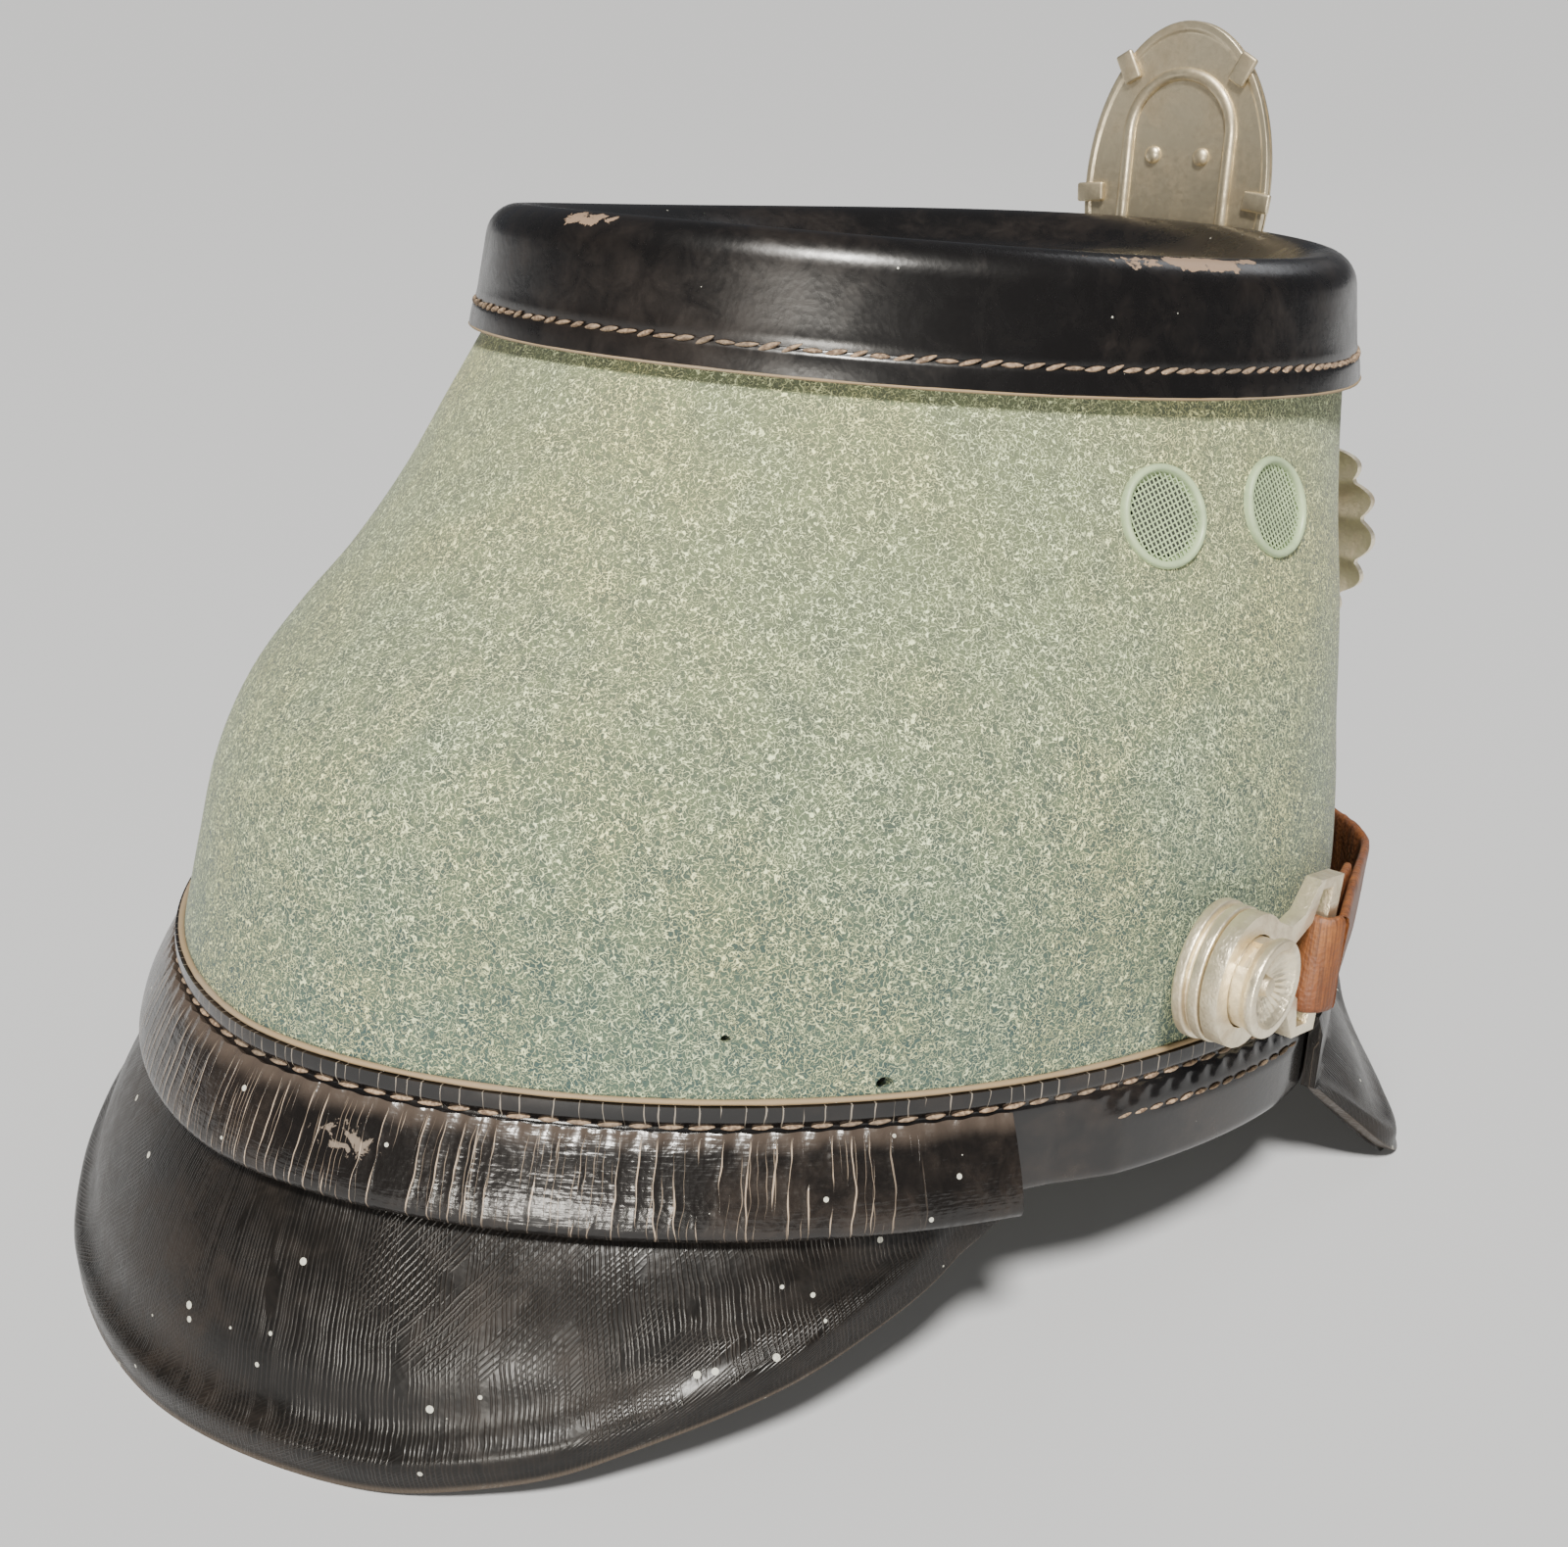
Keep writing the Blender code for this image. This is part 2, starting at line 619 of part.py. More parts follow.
def strap_route():
    """The strap's middle line and its upward edge: round one bar, across the front, round the other."""
    frame = lug_frame(1)
    bar = frame @ Vector((BRACKET_REACH, -STRAP_SLIP, LUG_WALL + FIT_GAP + BRACKET_WALL / 2))
    deep, wide = BRACKET_WALL / 2 + LOOP_EASE + STRAP_WALL / 2, BRACKET_BAR / 2 + LOOP_EASE + STRAP_WALL / 2
    half = [on_body(turn, bar.z, FIT_GAP * 2 + BAND_WALL + STRAP_WALL * 0.6) for turn in STRAP_TAIL]
    for angle in (-35, 0, 30, 60, 90, 120, 150, 185, 220):
        bend = math.radians(angle)
        half.append(bar + Vector((deep * math.cos(bend), wide * math.sin(bend), 0)))
    edges = [(frame.to_3x3() @ Vector((0, 1, 0))).normalized()] * len(half)
    first = -26.0
    for k in range(14):
        share = k / 13
        turn = mix(first, -90, share)
        point = on_body(turn, bar.z, STRAP_STANDS + STRAP_WALL / 2)
        fall = min((first - turn) / STRAP_FALL_TURN, 1)
        point.z = bar.z - STRAP_DROP * mix(0.4, 1, fall * fall * (3 - 2 * fall))
        half.append(point)
        edges.append(edges[0].lerp(Vector((0, 0, 1)), min(k / 3, 1)).normalized())
    for point in half[:len(STRAP_TAIL)]:
        point.z = bar.z
    both = list(zip(half, edges))
    flip = Vector((-1, 1, 1))
    return both + [(point * flip, edge * flip) for point, edge in reversed(both[:-1])]


def make_strap(look, stand):
    """A flat leather strap swept along its route, on edge."""
    route = strap_route()
    sections = []
    for k, (point, up) in enumerate(route):
        along = (route[min(k + 1, len(route) - 1)][0] - route[max(k - 1, 0)][0]).normalized()
        across = along.cross(up).normalized()
        rise = across.cross(along).normalized()
        a, b = across * STRAP_WALL / 2, rise * STRAP_WIDTH / 2
        sections.append([point + a + b, point - a + b, point - a - b, point + a - b])
    return add_piece("chin_strap", skin(sections, False, True), look, stand)


def ellipse(half_width, half_height, steps, power=2.0):
    points = []
    for k in range(steps):
        across, along = math.cos(2 * math.pi * k / steps), math.sin(2 * math.pi * k / steps)
        points.append((half_width * math.copysign(abs(across) ** (2 / power), across),
                       half_height * math.copysign(abs(along) ** (2 / power), along)))
    return points


def front_frame(height, forward):
    """A matrix in front of the hat: X to the wearer's right, Y up, Z forwards."""
    axes = Matrix(((-1, 0, 0), (0, 0, -1), (0, 1, 0))).to_4x4()
    return Matrix.Translation((0, -forward, height)) @ axes


def tube_between(points, radius, sides, matrix):
    """A round rod along points in the plane of a matrix."""
    sections = []
    for k, point in enumerate(points):
        here = Vector((*point, 0))
        before, after = Vector((*points[max(k - 1, 0)], 0)), Vector((*points[min(k + 1, len(points) - 1)], 0))
        along = (after - before).normalized()
        across = Vector((-along.y, along.x, 0))
        section = []
        for j in range(sides):
            angle = 2 * math.pi * j / sides
            spoke = across * math.cos(angle) + Vector((0, 0, 1)) * math.sin(angle)
            section.append(matrix @ (here + spoke * radius))
        sections.append(section)
    return skin(sections, False, True)


def make_cockade(plate_look, shield_look, stand):
    """The oval plate on its stem, with a raised channel, rivets and tabs, and the shield before it."""
    crown_front = RIM_FORWARD + RIM_LENGTH / 2
    back = crown_front + FIT_GAP + COCKADE_STANDOFF
    frame = front_frame(COCKADE_CENTRE, back)
    outline = ellipse(COCKADE_WIDTH / 2, COCKADE_HEIGHT / 2, 40)
    body = add_piece("cockade_plate", plate(outline, 0, COCKADE_WALL, frame), plate_look, stand)

    half, drop = CHANNEL_WIDTH / 2, COCKADE_HEIGHT * 0.12
    channel = [(half, -drop)]
    for k in range(11):
        angle = math.pi * k / 10
        channel.append((half * math.cos(angle), CHANNEL_TOP - half + half * math.sin(angle)))
    channel.append((-half, -drop))
    raised = [tube_between(channel, CHANNEL_RADIUS, 8, frame)]
    for x in (-RIVET_SPACING / 2, RIVET_SPACING / 2):
        spot = frame @ Matrix.Translation((x, COCKADE_HEIGHT * 0.1, 0))
        head = RIVET_WIDTH / 2
        raised.append(turned([(head, 0.4 * MM), (head, -0.5 * MM), (head * 0.6, -1.1 * MM)], 12, spot))
    for x, y in ((-0.62, 0.72), (0.62, 0.72), (-0.92, -0.05), (0.92, -0.05)):
        spot = frame @ Matrix.Translation((x * COCKADE_WIDTH / 2, y * COCKADE_HEIGHT / 2, 0))
        turn = Matrix.Rotation(math.atan2(y * COCKADE_HEIGHT, x * COCKADE_WIDTH), 4, "Z")
        tab = ellipse(TAB_WIDTH * 0.8, TAB_WIDTH / 2, 12)
        raised.append(plate(tab, -0.9 * MM, 0.4 * MM, spot @ turn))
    stem_height = FELT_HEIGHT + CROWN_HEIGHT / 2 - COCKADE_CENTRE
    crown_here = on_body(-90, FELT_HEIGHT + (CROWN_HEIGHT + STEM_WIDTH) / 2, CROWN_WALL + FIT_GAP)
    front_here = FIT_GAP - crown_here.y
    spot = frame @ Matrix.Translation((0, stem_height, 0))
    raised.append(turned([(STEM_WIDTH / 2, front_here - back), (STEM_WIDTH / 2, 0.5 * MM)], 16, spot))
    for number, part in enumerate(raised, 1):
        cut(body, add_cutter(f"cockade_relief_{number}", part, stand), "UNION")

    bm = bmesh.new()
    rings = []
    low = COCKADE_WALL + FIT_GAP
    for share, rise in ((1.0, 0.0), (1.0, 0.25), (0.93, 0.5), (0.74, 0.55), (0.70, 0.8), (0.42, 0.86), (0.38, 1.0)):
        points = ellipse(COCKADE_WIDTH / 2 * share, COCKADE_HEIGHT / 2 * share, 40)
        rings.append([bm.verts.new(frame @ Vector((x, y, low + COCKADE_DOME * rise))) for x, y in points])
    for inner_ring, outer_ring in zip(rings, rings[1:]):
        for k in range(40):
            after = (k + 1) % 40
            bm.faces.new((inner_ring[k], inner_ring[after], outer_ring[after], outer_ring[k]))
    bm.faces.new(rings[0])
    bm.faces.new(rings[-1])
    add_piece("cockade_shield", bm, shield_look, stand)


def make_badge(look, stand):
    """A plain rayed plate on the front: an oval dome with flutes that run out from its middle."""
    felt_front = max(-on_body(-90, BADGE_CENTRE + rise * BADGE_HEIGHT / 2).y for rise in (-1, 0, 1))
    frame = front_frame(BADGE_CENTRE, felt_front + FIT_GAP)
    steps = BADGE_RAYS * 2
    bm = bmesh.new()
    front, back = [], []
    for share in (0.16, 0.45, 0.75, 1.0):
        ring_front, ring_back = [], []
        for k, (x, y) in enumerate(ellipse(BADGE_WIDTH / 2, BADGE_HEIGHT / 2, steps, 2.2)):
            flute = BADGE_FLUTE if k % 2 else 0
            stretch = share * (1 - (0.03 if k % 2 == 0 else 0) * share)
            rise = BADGE_DOME * (1 - share * share)
            ring_front.append(bm.verts.new(frame @ Vector((x * stretch, y * stretch,
                                                           BADGE_WALL + rise + flute * share))))
            ring_back.append(bm.verts.new(frame @ Vector((x * stretch, y * stretch, rise))))
        front.append(ring_front)
        back.append(ring_back)
    for rings in (front, back):
        for low, high in zip(rings, rings[1:]):
            for k in range(steps):
                after = (k + 1) % steps
                bm.faces.new((low[k], low[after], high[after], high[k]))
        bm.faces.new(rings[0])
    for k in range(steps):
        after = (k + 1) % steps
        bm.faces.new((front[-1][k], front[-1][after], back[-1][after], back[-1][k]))
    badge = add_piece("front_badge", bm, look, stand)
    stud = turned([(STEM_WIDTH / 2, 0), (STEM_WIDTH / 2, BADGE_DOME + BADGE_WALL / 2)], 16, frame)
    cut(badge, add_cutter("badge_stud", stud, stand), "UNION")


def centre_on_table(stand):
    """Moves the stand so that the hat's box is centred over the origin."""
    bpy.context.view_layer.update()
    ys = []
    for piece in stand.children:
        if not piece.hide_render:
            ys += [(piece.matrix_world @ vert.co).y for vert in piece.data.vertices]
    stand.location.y -= (min(ys) + max(ys)) / 2


def main():
    clear_scene()
    stand = bpy.data.objects.new("stand", None)
    bpy.context.collection.objects.link(stand)
    stand.location = (0, 0, STAND_HEIGHT)
    stand.rotation_euler = (math.radians(REST_TILT), 0, 0)

    felt = material("felt", (0.30, 0.36, 0.27), 0.95)
    crown = material("crown_leather", (0.012, 0.012, 0.012), 0.35)
    band = material("band_leather", (0.015, 0.013, 0.012), 0.32)
    peak = material("peak_leather", (0.014, 0.012, 0.011), 0.45)
    alloy = material("alloy", (0.72, 0.70, 0.65), 0.42, 1.0)
    silver = material("aged_silver", (0.70, 0.67, 0.58), 0.45, 1.0)
    painted = material("green_paint", (0.30, 0.38, 0.30), 0.5, 0.4)
    gauze = material("gauze", (0.16, 0.18, 0.14), 0.6, 0.5)
    strap = material("strap_leather", (0.42, 0.17, 0.05), 0.6)

    shell = make_shell(felt, stand)
    make_vents(painted, gauze, shell, stand)
    make_crown_cap(crown, stand)
    make_base_band(band, stand)
    make_rear_band(band, stand)
    make_peak("rear_peak", REAR_RIM, REAR_PEAK_START, REAR_PEAK_REACH, 28, peak, stand)
    make_peak("front_peak", FRONT_RIM, FRONT_PEAK_START, FRONT_PEAK_REACH, 36, peak, stand)
    make_lugs(alloy, stand)
    make_strap(strap, stand)
    make_cockade(silver, silver, stand)
    make_badge(alloy, stand)
    centre_on_table(stand)


main()
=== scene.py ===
# %% [markdown]
# # A felt shako on a table
#
# The hat is a stiff oval tube of grey-green wool felt. A dished leather crown is sewn over its top, a
# leather strip round its foot holds two peaks, and small metal fittings carry the strap, the cockade
# and the badge. The fixed frame gives every place and size. This lesson lays finely made pieces over it,
# one cell after the other, and gives each its finish.

# %% Load the fixed frame
import math
import random

import bpy
from mathutils import Matrix, Vector
from mathutils import noise as wave_noise


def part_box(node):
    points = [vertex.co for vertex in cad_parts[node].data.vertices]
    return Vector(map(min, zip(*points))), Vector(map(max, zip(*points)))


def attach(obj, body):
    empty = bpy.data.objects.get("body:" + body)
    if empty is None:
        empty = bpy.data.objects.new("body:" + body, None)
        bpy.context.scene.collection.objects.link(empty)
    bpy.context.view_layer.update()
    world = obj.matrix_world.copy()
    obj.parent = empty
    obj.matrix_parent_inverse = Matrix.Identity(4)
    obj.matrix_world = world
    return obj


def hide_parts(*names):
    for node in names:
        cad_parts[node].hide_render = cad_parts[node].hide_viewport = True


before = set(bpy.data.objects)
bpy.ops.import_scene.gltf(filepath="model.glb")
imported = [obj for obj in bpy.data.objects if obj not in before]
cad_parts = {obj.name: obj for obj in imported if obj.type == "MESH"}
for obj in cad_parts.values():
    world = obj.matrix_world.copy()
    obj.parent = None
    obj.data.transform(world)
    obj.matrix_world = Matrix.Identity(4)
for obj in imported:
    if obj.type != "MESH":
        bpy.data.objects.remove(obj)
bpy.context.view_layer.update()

# %% [markdown]
# The hat was modelled upright and then tipped back, so that both peaks rest on the table. The same tip
# is used here: a point of the upright hat goes through STAND to its place on the table, because heights
# are easier to give on the upright hat.

# %% The pose on the table
MM = 0.001
REST_TILT = 5.5
STAND_HEIGHT = 40.7 * MM
STAND_FORWARD = 4.844 * MM
STAND = (Matrix.Translation((0, STAND_FORWARD, STAND_HEIGHT))
         @ Matrix.Rotation(math.radians(REST_TILT), 4, "X"))
print("foot of the felt stands", round(STAND_HEIGHT * 1000, 1), "mm over the table")

# %% [markdown]
# The camera stands where the photographer stood: behind the hat, to the wearer's right, and a little
# above its crown. The lens was found from the ovals of the foot and the crown. The camera is placed by
# its own three directions and its place, because the fit gives them directly.

# %% Camera
def aimed(right, up, back, place):
    """A matrix from three directions and a place."""
    turn = Matrix((right, up, back)).transposed().to_4x4()
    return Matrix.Translation(place) @ turn


camera_data = bpy.data.cameras.new("camera")
camera_data.lens = 44.08
camera_data.sensor_width = 36
camera = bpy.data.objects.new("camera", camera_data)
bpy.context.collection.objects.link(camera)
camera.matrix_world = aimed((-0.7564, -0.6540, -0.0119), (0.2425, -0.2973, 0.9235),
                            (-0.6075, 0.6956, 0.3835),
                            (-206.2 * MM, 229.2 * MM + STAND_FORWARD, 182.6 * MM))
bpy.context.scene.camera = camera
print("camera lens:", camera_data.lens, "mm")

# %% [markdown]
# The hat stands on one pale floor, far wider than itself, as on a studio's paper. A single plane is
# enough, because nothing but the hat's shadow shows on it.

# %% Floor
FLOOR_SIZE = 300


def pick(*pieces):
    """Deselects everything, then selects the pieces and makes the first one active."""
    bpy.ops.object.select_all(action="DESELECT")
    for piece in pieces:
        piece.select_set(True)
    if pieces:
        bpy.context.view_layer.objects.active = pieces[0]


pick()
bpy.ops.mesh.primitive_plane_add(size=FLOOR_SIZE, location=(0, 0, 0))
floor = bpy.context.object
floor.name = "floor"
floor_look = bpy.data.materials.new("pale_floor")
floor_look.use_nodes = True
floor_shader = floor_look.node_tree.nodes["Principled BSDF"]
floor_shader.inputs["Base Color"].default_value = (0.46, 0.47, 0.49, 1)
floor_shader.inputs["Roughness"].default_value = 0.75
floor.data.materials.append(floor_look)
print("floor:", FLOOR_SIZE, "m wide")

# %% [markdown]
# A sun lamp with a wide angle stands for a high, soft window behind the camera. A small, low panel on
# the same side draws long glints on the lacquered leather, and a weak panel at the front fills that
# side. The world adds a little even light. Lamps are used because they need no picture of a room.

# %% Light
world = bpy.data.worlds.new("studio")
world.use_nodes = True
world.node_tree.nodes["Background"].inputs["Color"].default_value = (0.86, 0.91, 1.0, 1)
world.node_tree.nodes["Background"].inputs["Strength"].default_value = 0.11
bpy.context.scene.world = world


def soft_light(name, place, aim, size, power, colour):
    """A wide soft light that looks at a point."""
    data = bpy.data.lights.new(name, "AREA")
    data.shape = "RECTANGLE"
    data.size, data.size_y = size
    data.energy = power
    data.color = colour
    light = bpy.data.objects.new(name, data)
    bpy.context.collection.objects.link(light)
    light.location = place
    light.rotation_euler = (Vector(aim) - Vector(place)).to_track_quat("-Z", "Y").to_euler()
    return light


sun_data = bpy.data.lights.new("high_window", "SUN")
sun_data.energy = 7.6
sun_data.angle = math.radians(12)
sun_data.color = (1.0, 0.965, 0.90)
sun = bpy.data.objects.new("high_window", sun_data)
bpy.context.collection.objects.link(sun)
sun.rotation_euler = (-Vector((-0.34, 0.42, 0.84))).to_track_quat("-Z", "Y").to_euler()
soft_light("panel", (-0.55, 1.00, 0.20), (0, 0, 0.12), (0.30, 0.16), 9.0, (1.0, 0.95, 0.86))
soft_light("front_panel", (-0.1, -1.3, 1.1), (0, 0, 0.10), (0.6, 0.6), 2.5, (0.95, 0.97, 1.0))
print("lights:", len(bpy.data.lights))

# %% [markdown]
# ## The form under it all
#
# A hatter shapes the felt on a block. Here the block is a rule: at each height the hat is an oval whose
# front, rear and half width are known, and turn says where on the oval a point lies, from 0 at the
# wearer's right to 90 at the rear. Every sheet is laid on this one rule, so nothing can drift apart.

# %% Sizes of the block
BASE_LENGTH, BASE_WIDTH = 209 * MM, 187 * MM
FELT_HEIGHT = 88 * MM
TOP_LENGTH, TOP_WIDTH, TOP_FORWARD = 150 * MM, 146 * MM, 31 * MM
RIM_LENGTH, RIM_WIDTH, RIM_FORWARD = 155 * MM, 142 * MM, 33 * MM
CROWN_HEIGHT = 19.5 * MM
BASE_POWER, TOP_POWER = 1.80, 1.90
WIDEST_PLACE = 0.44
SIDE_SAG = 2.2 * MM
REAR_SWELL, SIDE_SWELL = 9.4 * MM, 3.4 * MM
SHELL_WALL, CROWN_WALL = 2.6 * MM, 2.0 * MM
GAP = 0.3 * MM
SWELL = [(0.00, 0.00, 0.00), (0.14, 0.52, 0.72), (0.28, 1.05, 1.00), (0.40, 1.20, 0.92),
         (0.50, 0.90, 0.78), (0.60, 0.42, 0.52), (0.74, 0.14, 0.12), (0.88, 0.08, 0.00),
         (1.00, 0.00, 0.00)]
print("felt's foot:", round(BASE_LENGTH * 1000), "x", round(BASE_WIDTH * 1000), "mm")

# %% [markdown]
# Between two known sizes the form is read from a smooth curve. A curve is used and not straight steps,
# because a hatter's block has no corners that the felt could show.

# %% Smooth steps between sizes
def mix(a, b, share):
    return a + (b - a) * share


def eased(share):
    share = min(max(share, 0.0), 1.0)
    return share * share * (3 - 2 * share)


def read_smoothly(rows, column, place):
    """Reads a column of a table on a smooth curve; the first column is the place."""
    last = len(rows) - 1
    place = min(max(place, rows[0][0]), rows[-1][0])
    i = max([k for k in range(last) if rows[k][0] <= place] or [0])
    width = rows[i + 1][0] - rows[i][0]

    def slope(k):
        low, high = max(k - 1, 0), min(k + 1, last)
        return (rows[high][column] - rows[low][column]) / (rows[high][0] - rows[low][0])

    t = (place - rows[i][0]) / width
    return ((2 * t**3 - 3 * t**2 + 1) * rows[i][column] + (t**3 - 2 * t**2 + t) * width * slope(i)
            + (3 * t**2 - 2 * t**3) * rows[i + 1][column] + (t**3 - t**2) * width * slope(i + 1))


print("swell of the rear at half height:", round(REAR_SWELL * read_smoothly(SWELL, 1, 0.5) * 1000, 1), "mm")

# %% [markdown]
# Each level of the block is an oval that is widest a little in front of its middle. Its sides hang
# lower than its front and rear, as the foot of such a hat does. A place is asked for by its turn and
# its height, and can be moved outwards, so that felt, leather and thread share the same rule.

# %% Places on the block
def body_oval(z):
    """The front, the rear and the half width of the felt's outside at a height."""
    base = (-BASE_LENGTH / 2, BASE_LENGTH / 2, BASE_WIDTH / 2)
    top = (-TOP_FORWARD - TOP_LENGTH / 2, -TOP_FORWARD + TOP_LENGTH / 2, TOP_WIDTH / 2)
    inside = CROWN_WALL + GAP
    rim = (-RIM_FORWARD - RIM_LENGTH / 2 + inside, -RIM_FORWARD + RIM_LENGTH / 2 - inside,
           RIM_WIDTH / 2 - inside)
    if z <= 0:
        return base
    if z >= FELT_HEIGHT:
        share = min((z - FELT_HEIGHT) / CROWN_HEIGHT, 1.0)
        return tuple(mix(a, b, share) for a, b in zip(top, rim))
    share = z / FELT_HEIGHT
    front, rear, half_width = (mix(a, b, share) for a, b in zip(base, top))
    rear += REAR_SWELL * read_smoothly(SWELL, 1, share)
    half_width += SIDE_SWELL * read_smoothly(SWELL, 2, share)
    return front, rear, half_width


def on_body(turn, z, grow=0.0):
    """A point on the upright body, or grow outside it."""
    front, rear, half_width = body_oval(z)
    middle = mix(front, rear, WIDEST_PLACE)
    across, along = math.cos(math.radians(turn)), math.sin(math.radians(turn))
    power = 2 / mix(BASE_POWER, TOP_POWER, min(max(z / FELT_HEIGHT, 0), 1))
    reach = (rear - middle if along >= 0 else middle - front) + grow
    x = -(half_width + grow) * math.copysign(abs(across) ** power, across)
    y = middle + reach * math.copysign(abs(along) ** power, along)
    return Vector((x, y, z - SIDE_SAG * across**2))


def outward(turn, z):
    """The level direction that points straight away from the body."""
    step = on_body(turn + 0.5, z) - on_body(turn - 0.5, z)
    away = Vector((step.y, -step.x, 0)).normalized()
    return away if away.dot(on_body(turn, z) - Vector((0, on_body(0, z).y, 0))) > 0 else -away


def standing(turn, z, grow=0.0):
    """A point on the body as the hat stands on the table."""
    return STAND @ on_body(turn, z, grow)


shell_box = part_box("shell")
print("rear of the foot:", round(max(standing(90, z * MM).y for z in range(0, 60)) * 1000, 2),
      "mm; the solid's:", round(shell_box[1].y * 1000, 2), "mm")

# %% [markdown]
# ## Two tools for laying sheets
#
# Felt and leather are cut flat and pulled over the block. The same is done here: a flat grid is added,
# and each of its corners is moved to its place on the block. Because the grid keeps its own flat map,
# cracks and grain can later run along the leather, as they do on the real one. Modelling the sheets by
# hand from a cylinder would give the same form with more steps and less even faces.

# %% Lay a grid over rows of points
SAME_PLACE = 0.002 * MM


def laid(name, rows, around=False, loop=False, size=(1.0, 1.0)):
    """Lays a grid over rows of points; around joins the last row to the first, loop closes each row."""
    if loop:
        rows = [list(row) + [row[0]] for row in rows]
    if around:
        rows = list(rows) + [rows[0]]
    columns, steps = len(rows) - 1, len(rows[0]) - 1
    pick()
    bpy.ops.mesh.primitive_grid_add(x_subdivisions=columns, y_subdivisions=steps, size=1)
    piece = bpy.context.object
    piece.name = name
    mesh = piece.data
    mesh.name = name
    for vertex in mesh.vertices:
        i = round((vertex.co.x + 0.5) * columns)
        k = round((vertex.co.y + 0.5) * steps)
        vertex.co = rows[i][k]
    for corner in mesh.uv_layers[0].data:
        corner.uv = (corner.uv.x * size[0], corner.uv.y * size[1])
    bpy.ops.object.mode_set(mode="EDIT")
    bpy.ops.mesh.select_all(action="SELECT")
    bpy.ops.mesh.remove_doubles(threshold=SAME_PLACE)
    if loop and not around:
        bpy.ops.mesh.select_all(action="DESELECT")
        bpy.ops.mesh.select_non_manifold(extend=False)
        bpy.ops.mesh.edge_face_add()
        bpy.ops.mesh.select_all(action="SELECT")
    bpy.ops.mesh.normals_make_consistent(inside=False)
    bpy.ops.object.mode_set(mode="OBJECT")
    return piece


print("points closer than", SAME_PLACE * 1000, "mm are merged")

# %% [markdown]
# A laid sheet is thin. It is turned so that its faces look away from the hat's hollow, and then gets its
# thickness, its cut holes or its soft edges from a modifier that is applied at once, because a finished
# mesh is what the next step works on.

# %% Work on a laid sheet
HOLLOW_MIDDLE = Vector((0, 0, 0.09))


def turned_out(piece, inside=HOLLOW_MIDDLE):
    """Makes an open sheet's faces look away from a point inside the hat."""
    score = sum(face.area * face.normal.dot(face.center - inside) for face in piece.data.polygons)
    if score < 0:
        bpy.ops.object.mode_set(mode="EDIT")
        bpy.ops.mesh.select_all(action="SELECT")
        bpy.ops.mesh.flip_normals()
        bpy.ops.object.mode_set(mode="OBJECT")
    return piece


def finish_with(piece, kind, **settings):
    """Adds a modifier and applies it."""
    pick(piece)
    change = piece.modifiers.new(kind.lower(), kind)
    for key, value in settings.items():
        setattr(change, key, value)
    bpy.ops.object.modifier_apply(modifier=change.name)
    return piece


def cut_out(piece, cutter):
    """Cuts the cutter's form out of a piece and takes the cutter away."""
    finish_with(piece, "BOOLEAN", operation="DIFFERENCE", solver="EXACT", object=cutter)
    bpy.data.objects.remove(cutter, do_unlink=True)


def joined(name, pieces):
    """Joins pieces into one."""
    pick(*pieces)
    if len(pieces) > 1:
        bpy.ops.object.join()
    pieces[0].name = name
    pieces[0].data.name = name
    return pieces[0]


def copied(piece, name, matrix):
    """A copy with its own mesh, moved by a matrix that is kept in the mesh."""
    mesh = piece.data.copy()
    mesh.transform(matrix)
    if matrix.determinant() < 0:
        mesh.flip_normals()
    made = bpy.data.objects.new(name, mesh)
    bpy.context.collection.objects.link(made)
    return made


print("sheets look away from", round(HOLLOW_MIDDLE.z * 1000), "mm over the table's middle")

# %% [markdown]
# Every piece ends in the same way: edges sharper than an angle stay sharp, the finish is put on, the
# piece is hung on the frame's root, and the solids it stands for are hidden. One helper does it, so no
# piece can be forgotten.

# %% Give a piece its finish and its place
def ready(piece, look, replaces=(), sharp=40):
    """Gives a piece its finish and its place in the frame."""
    pick(piece)
    bpy.ops.object.shade_smooth_by_angle(angle=math.radians(sharp))
    piece.data.materials.clear()
    piece.data.materials.append(look)
    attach(piece, "root")
    if replaces:
        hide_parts(*replaces)
    print(f"{piece.name}: {len(piece.data.polygons)} faces")
    return piece


print("solids that wait for a piece:", len(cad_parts))

# %% [markdown]
# ## Finishes
#
# Each finish is built from a few noise patterns. Three effects come back in several finishes, so each
# is a node group of its own: worn leather, worn metal and cracks. The groups give colours and heights
# only; the shader, with its plain gloss values, stays in each material.

# %% Helpers for nodes
def node(tree, kind, inputs=None, **settings):
    """Adds a node, sets it, and links or sets its inputs."""
    made = tree.nodes.new(kind)
    for key, value in settings.items():
        setattr(made, key, value)
    for key, value in (inputs or {}).items():
        if isinstance(value, bpy.types.NodeSocket):
            tree.links.new(value, made.inputs[key])
        else:
            made.inputs[key].default_value = value
    return made


def tree_of(*values):
    """The node tree that the first socket among the values belongs to."""
    return next(value for value in values if isinstance(value, bpy.types.NodeSocket)).id_data


def calc(operation, first, second=0.0, clamp=False):
    return node(tree_of(first, second), "ShaderNodeMath", {0: first, 1: second}, operation=operation,
                use_clamp=clamp).outputs[0]


def times(first, second, clamp=False):
    return calc("MULTIPLY", first, second, clamp)


def plus(first, second, clamp=False):
    return calc("ADD", first, second, clamp)


def minus(first, second):
    return calc("SUBTRACT", first, second)


def between(value, low, high, start=0.0, end=1.0):
    """Maps low..high to start..end, and stays inside."""
    return node(tree_of(value), "ShaderNodeMapRange", {"Value": value, "From Min": low, "From Max": high,
                                                       "To Min": start, "To Max": end},
                interpolation_type="SMOOTHSTEP").outputs["Result"]


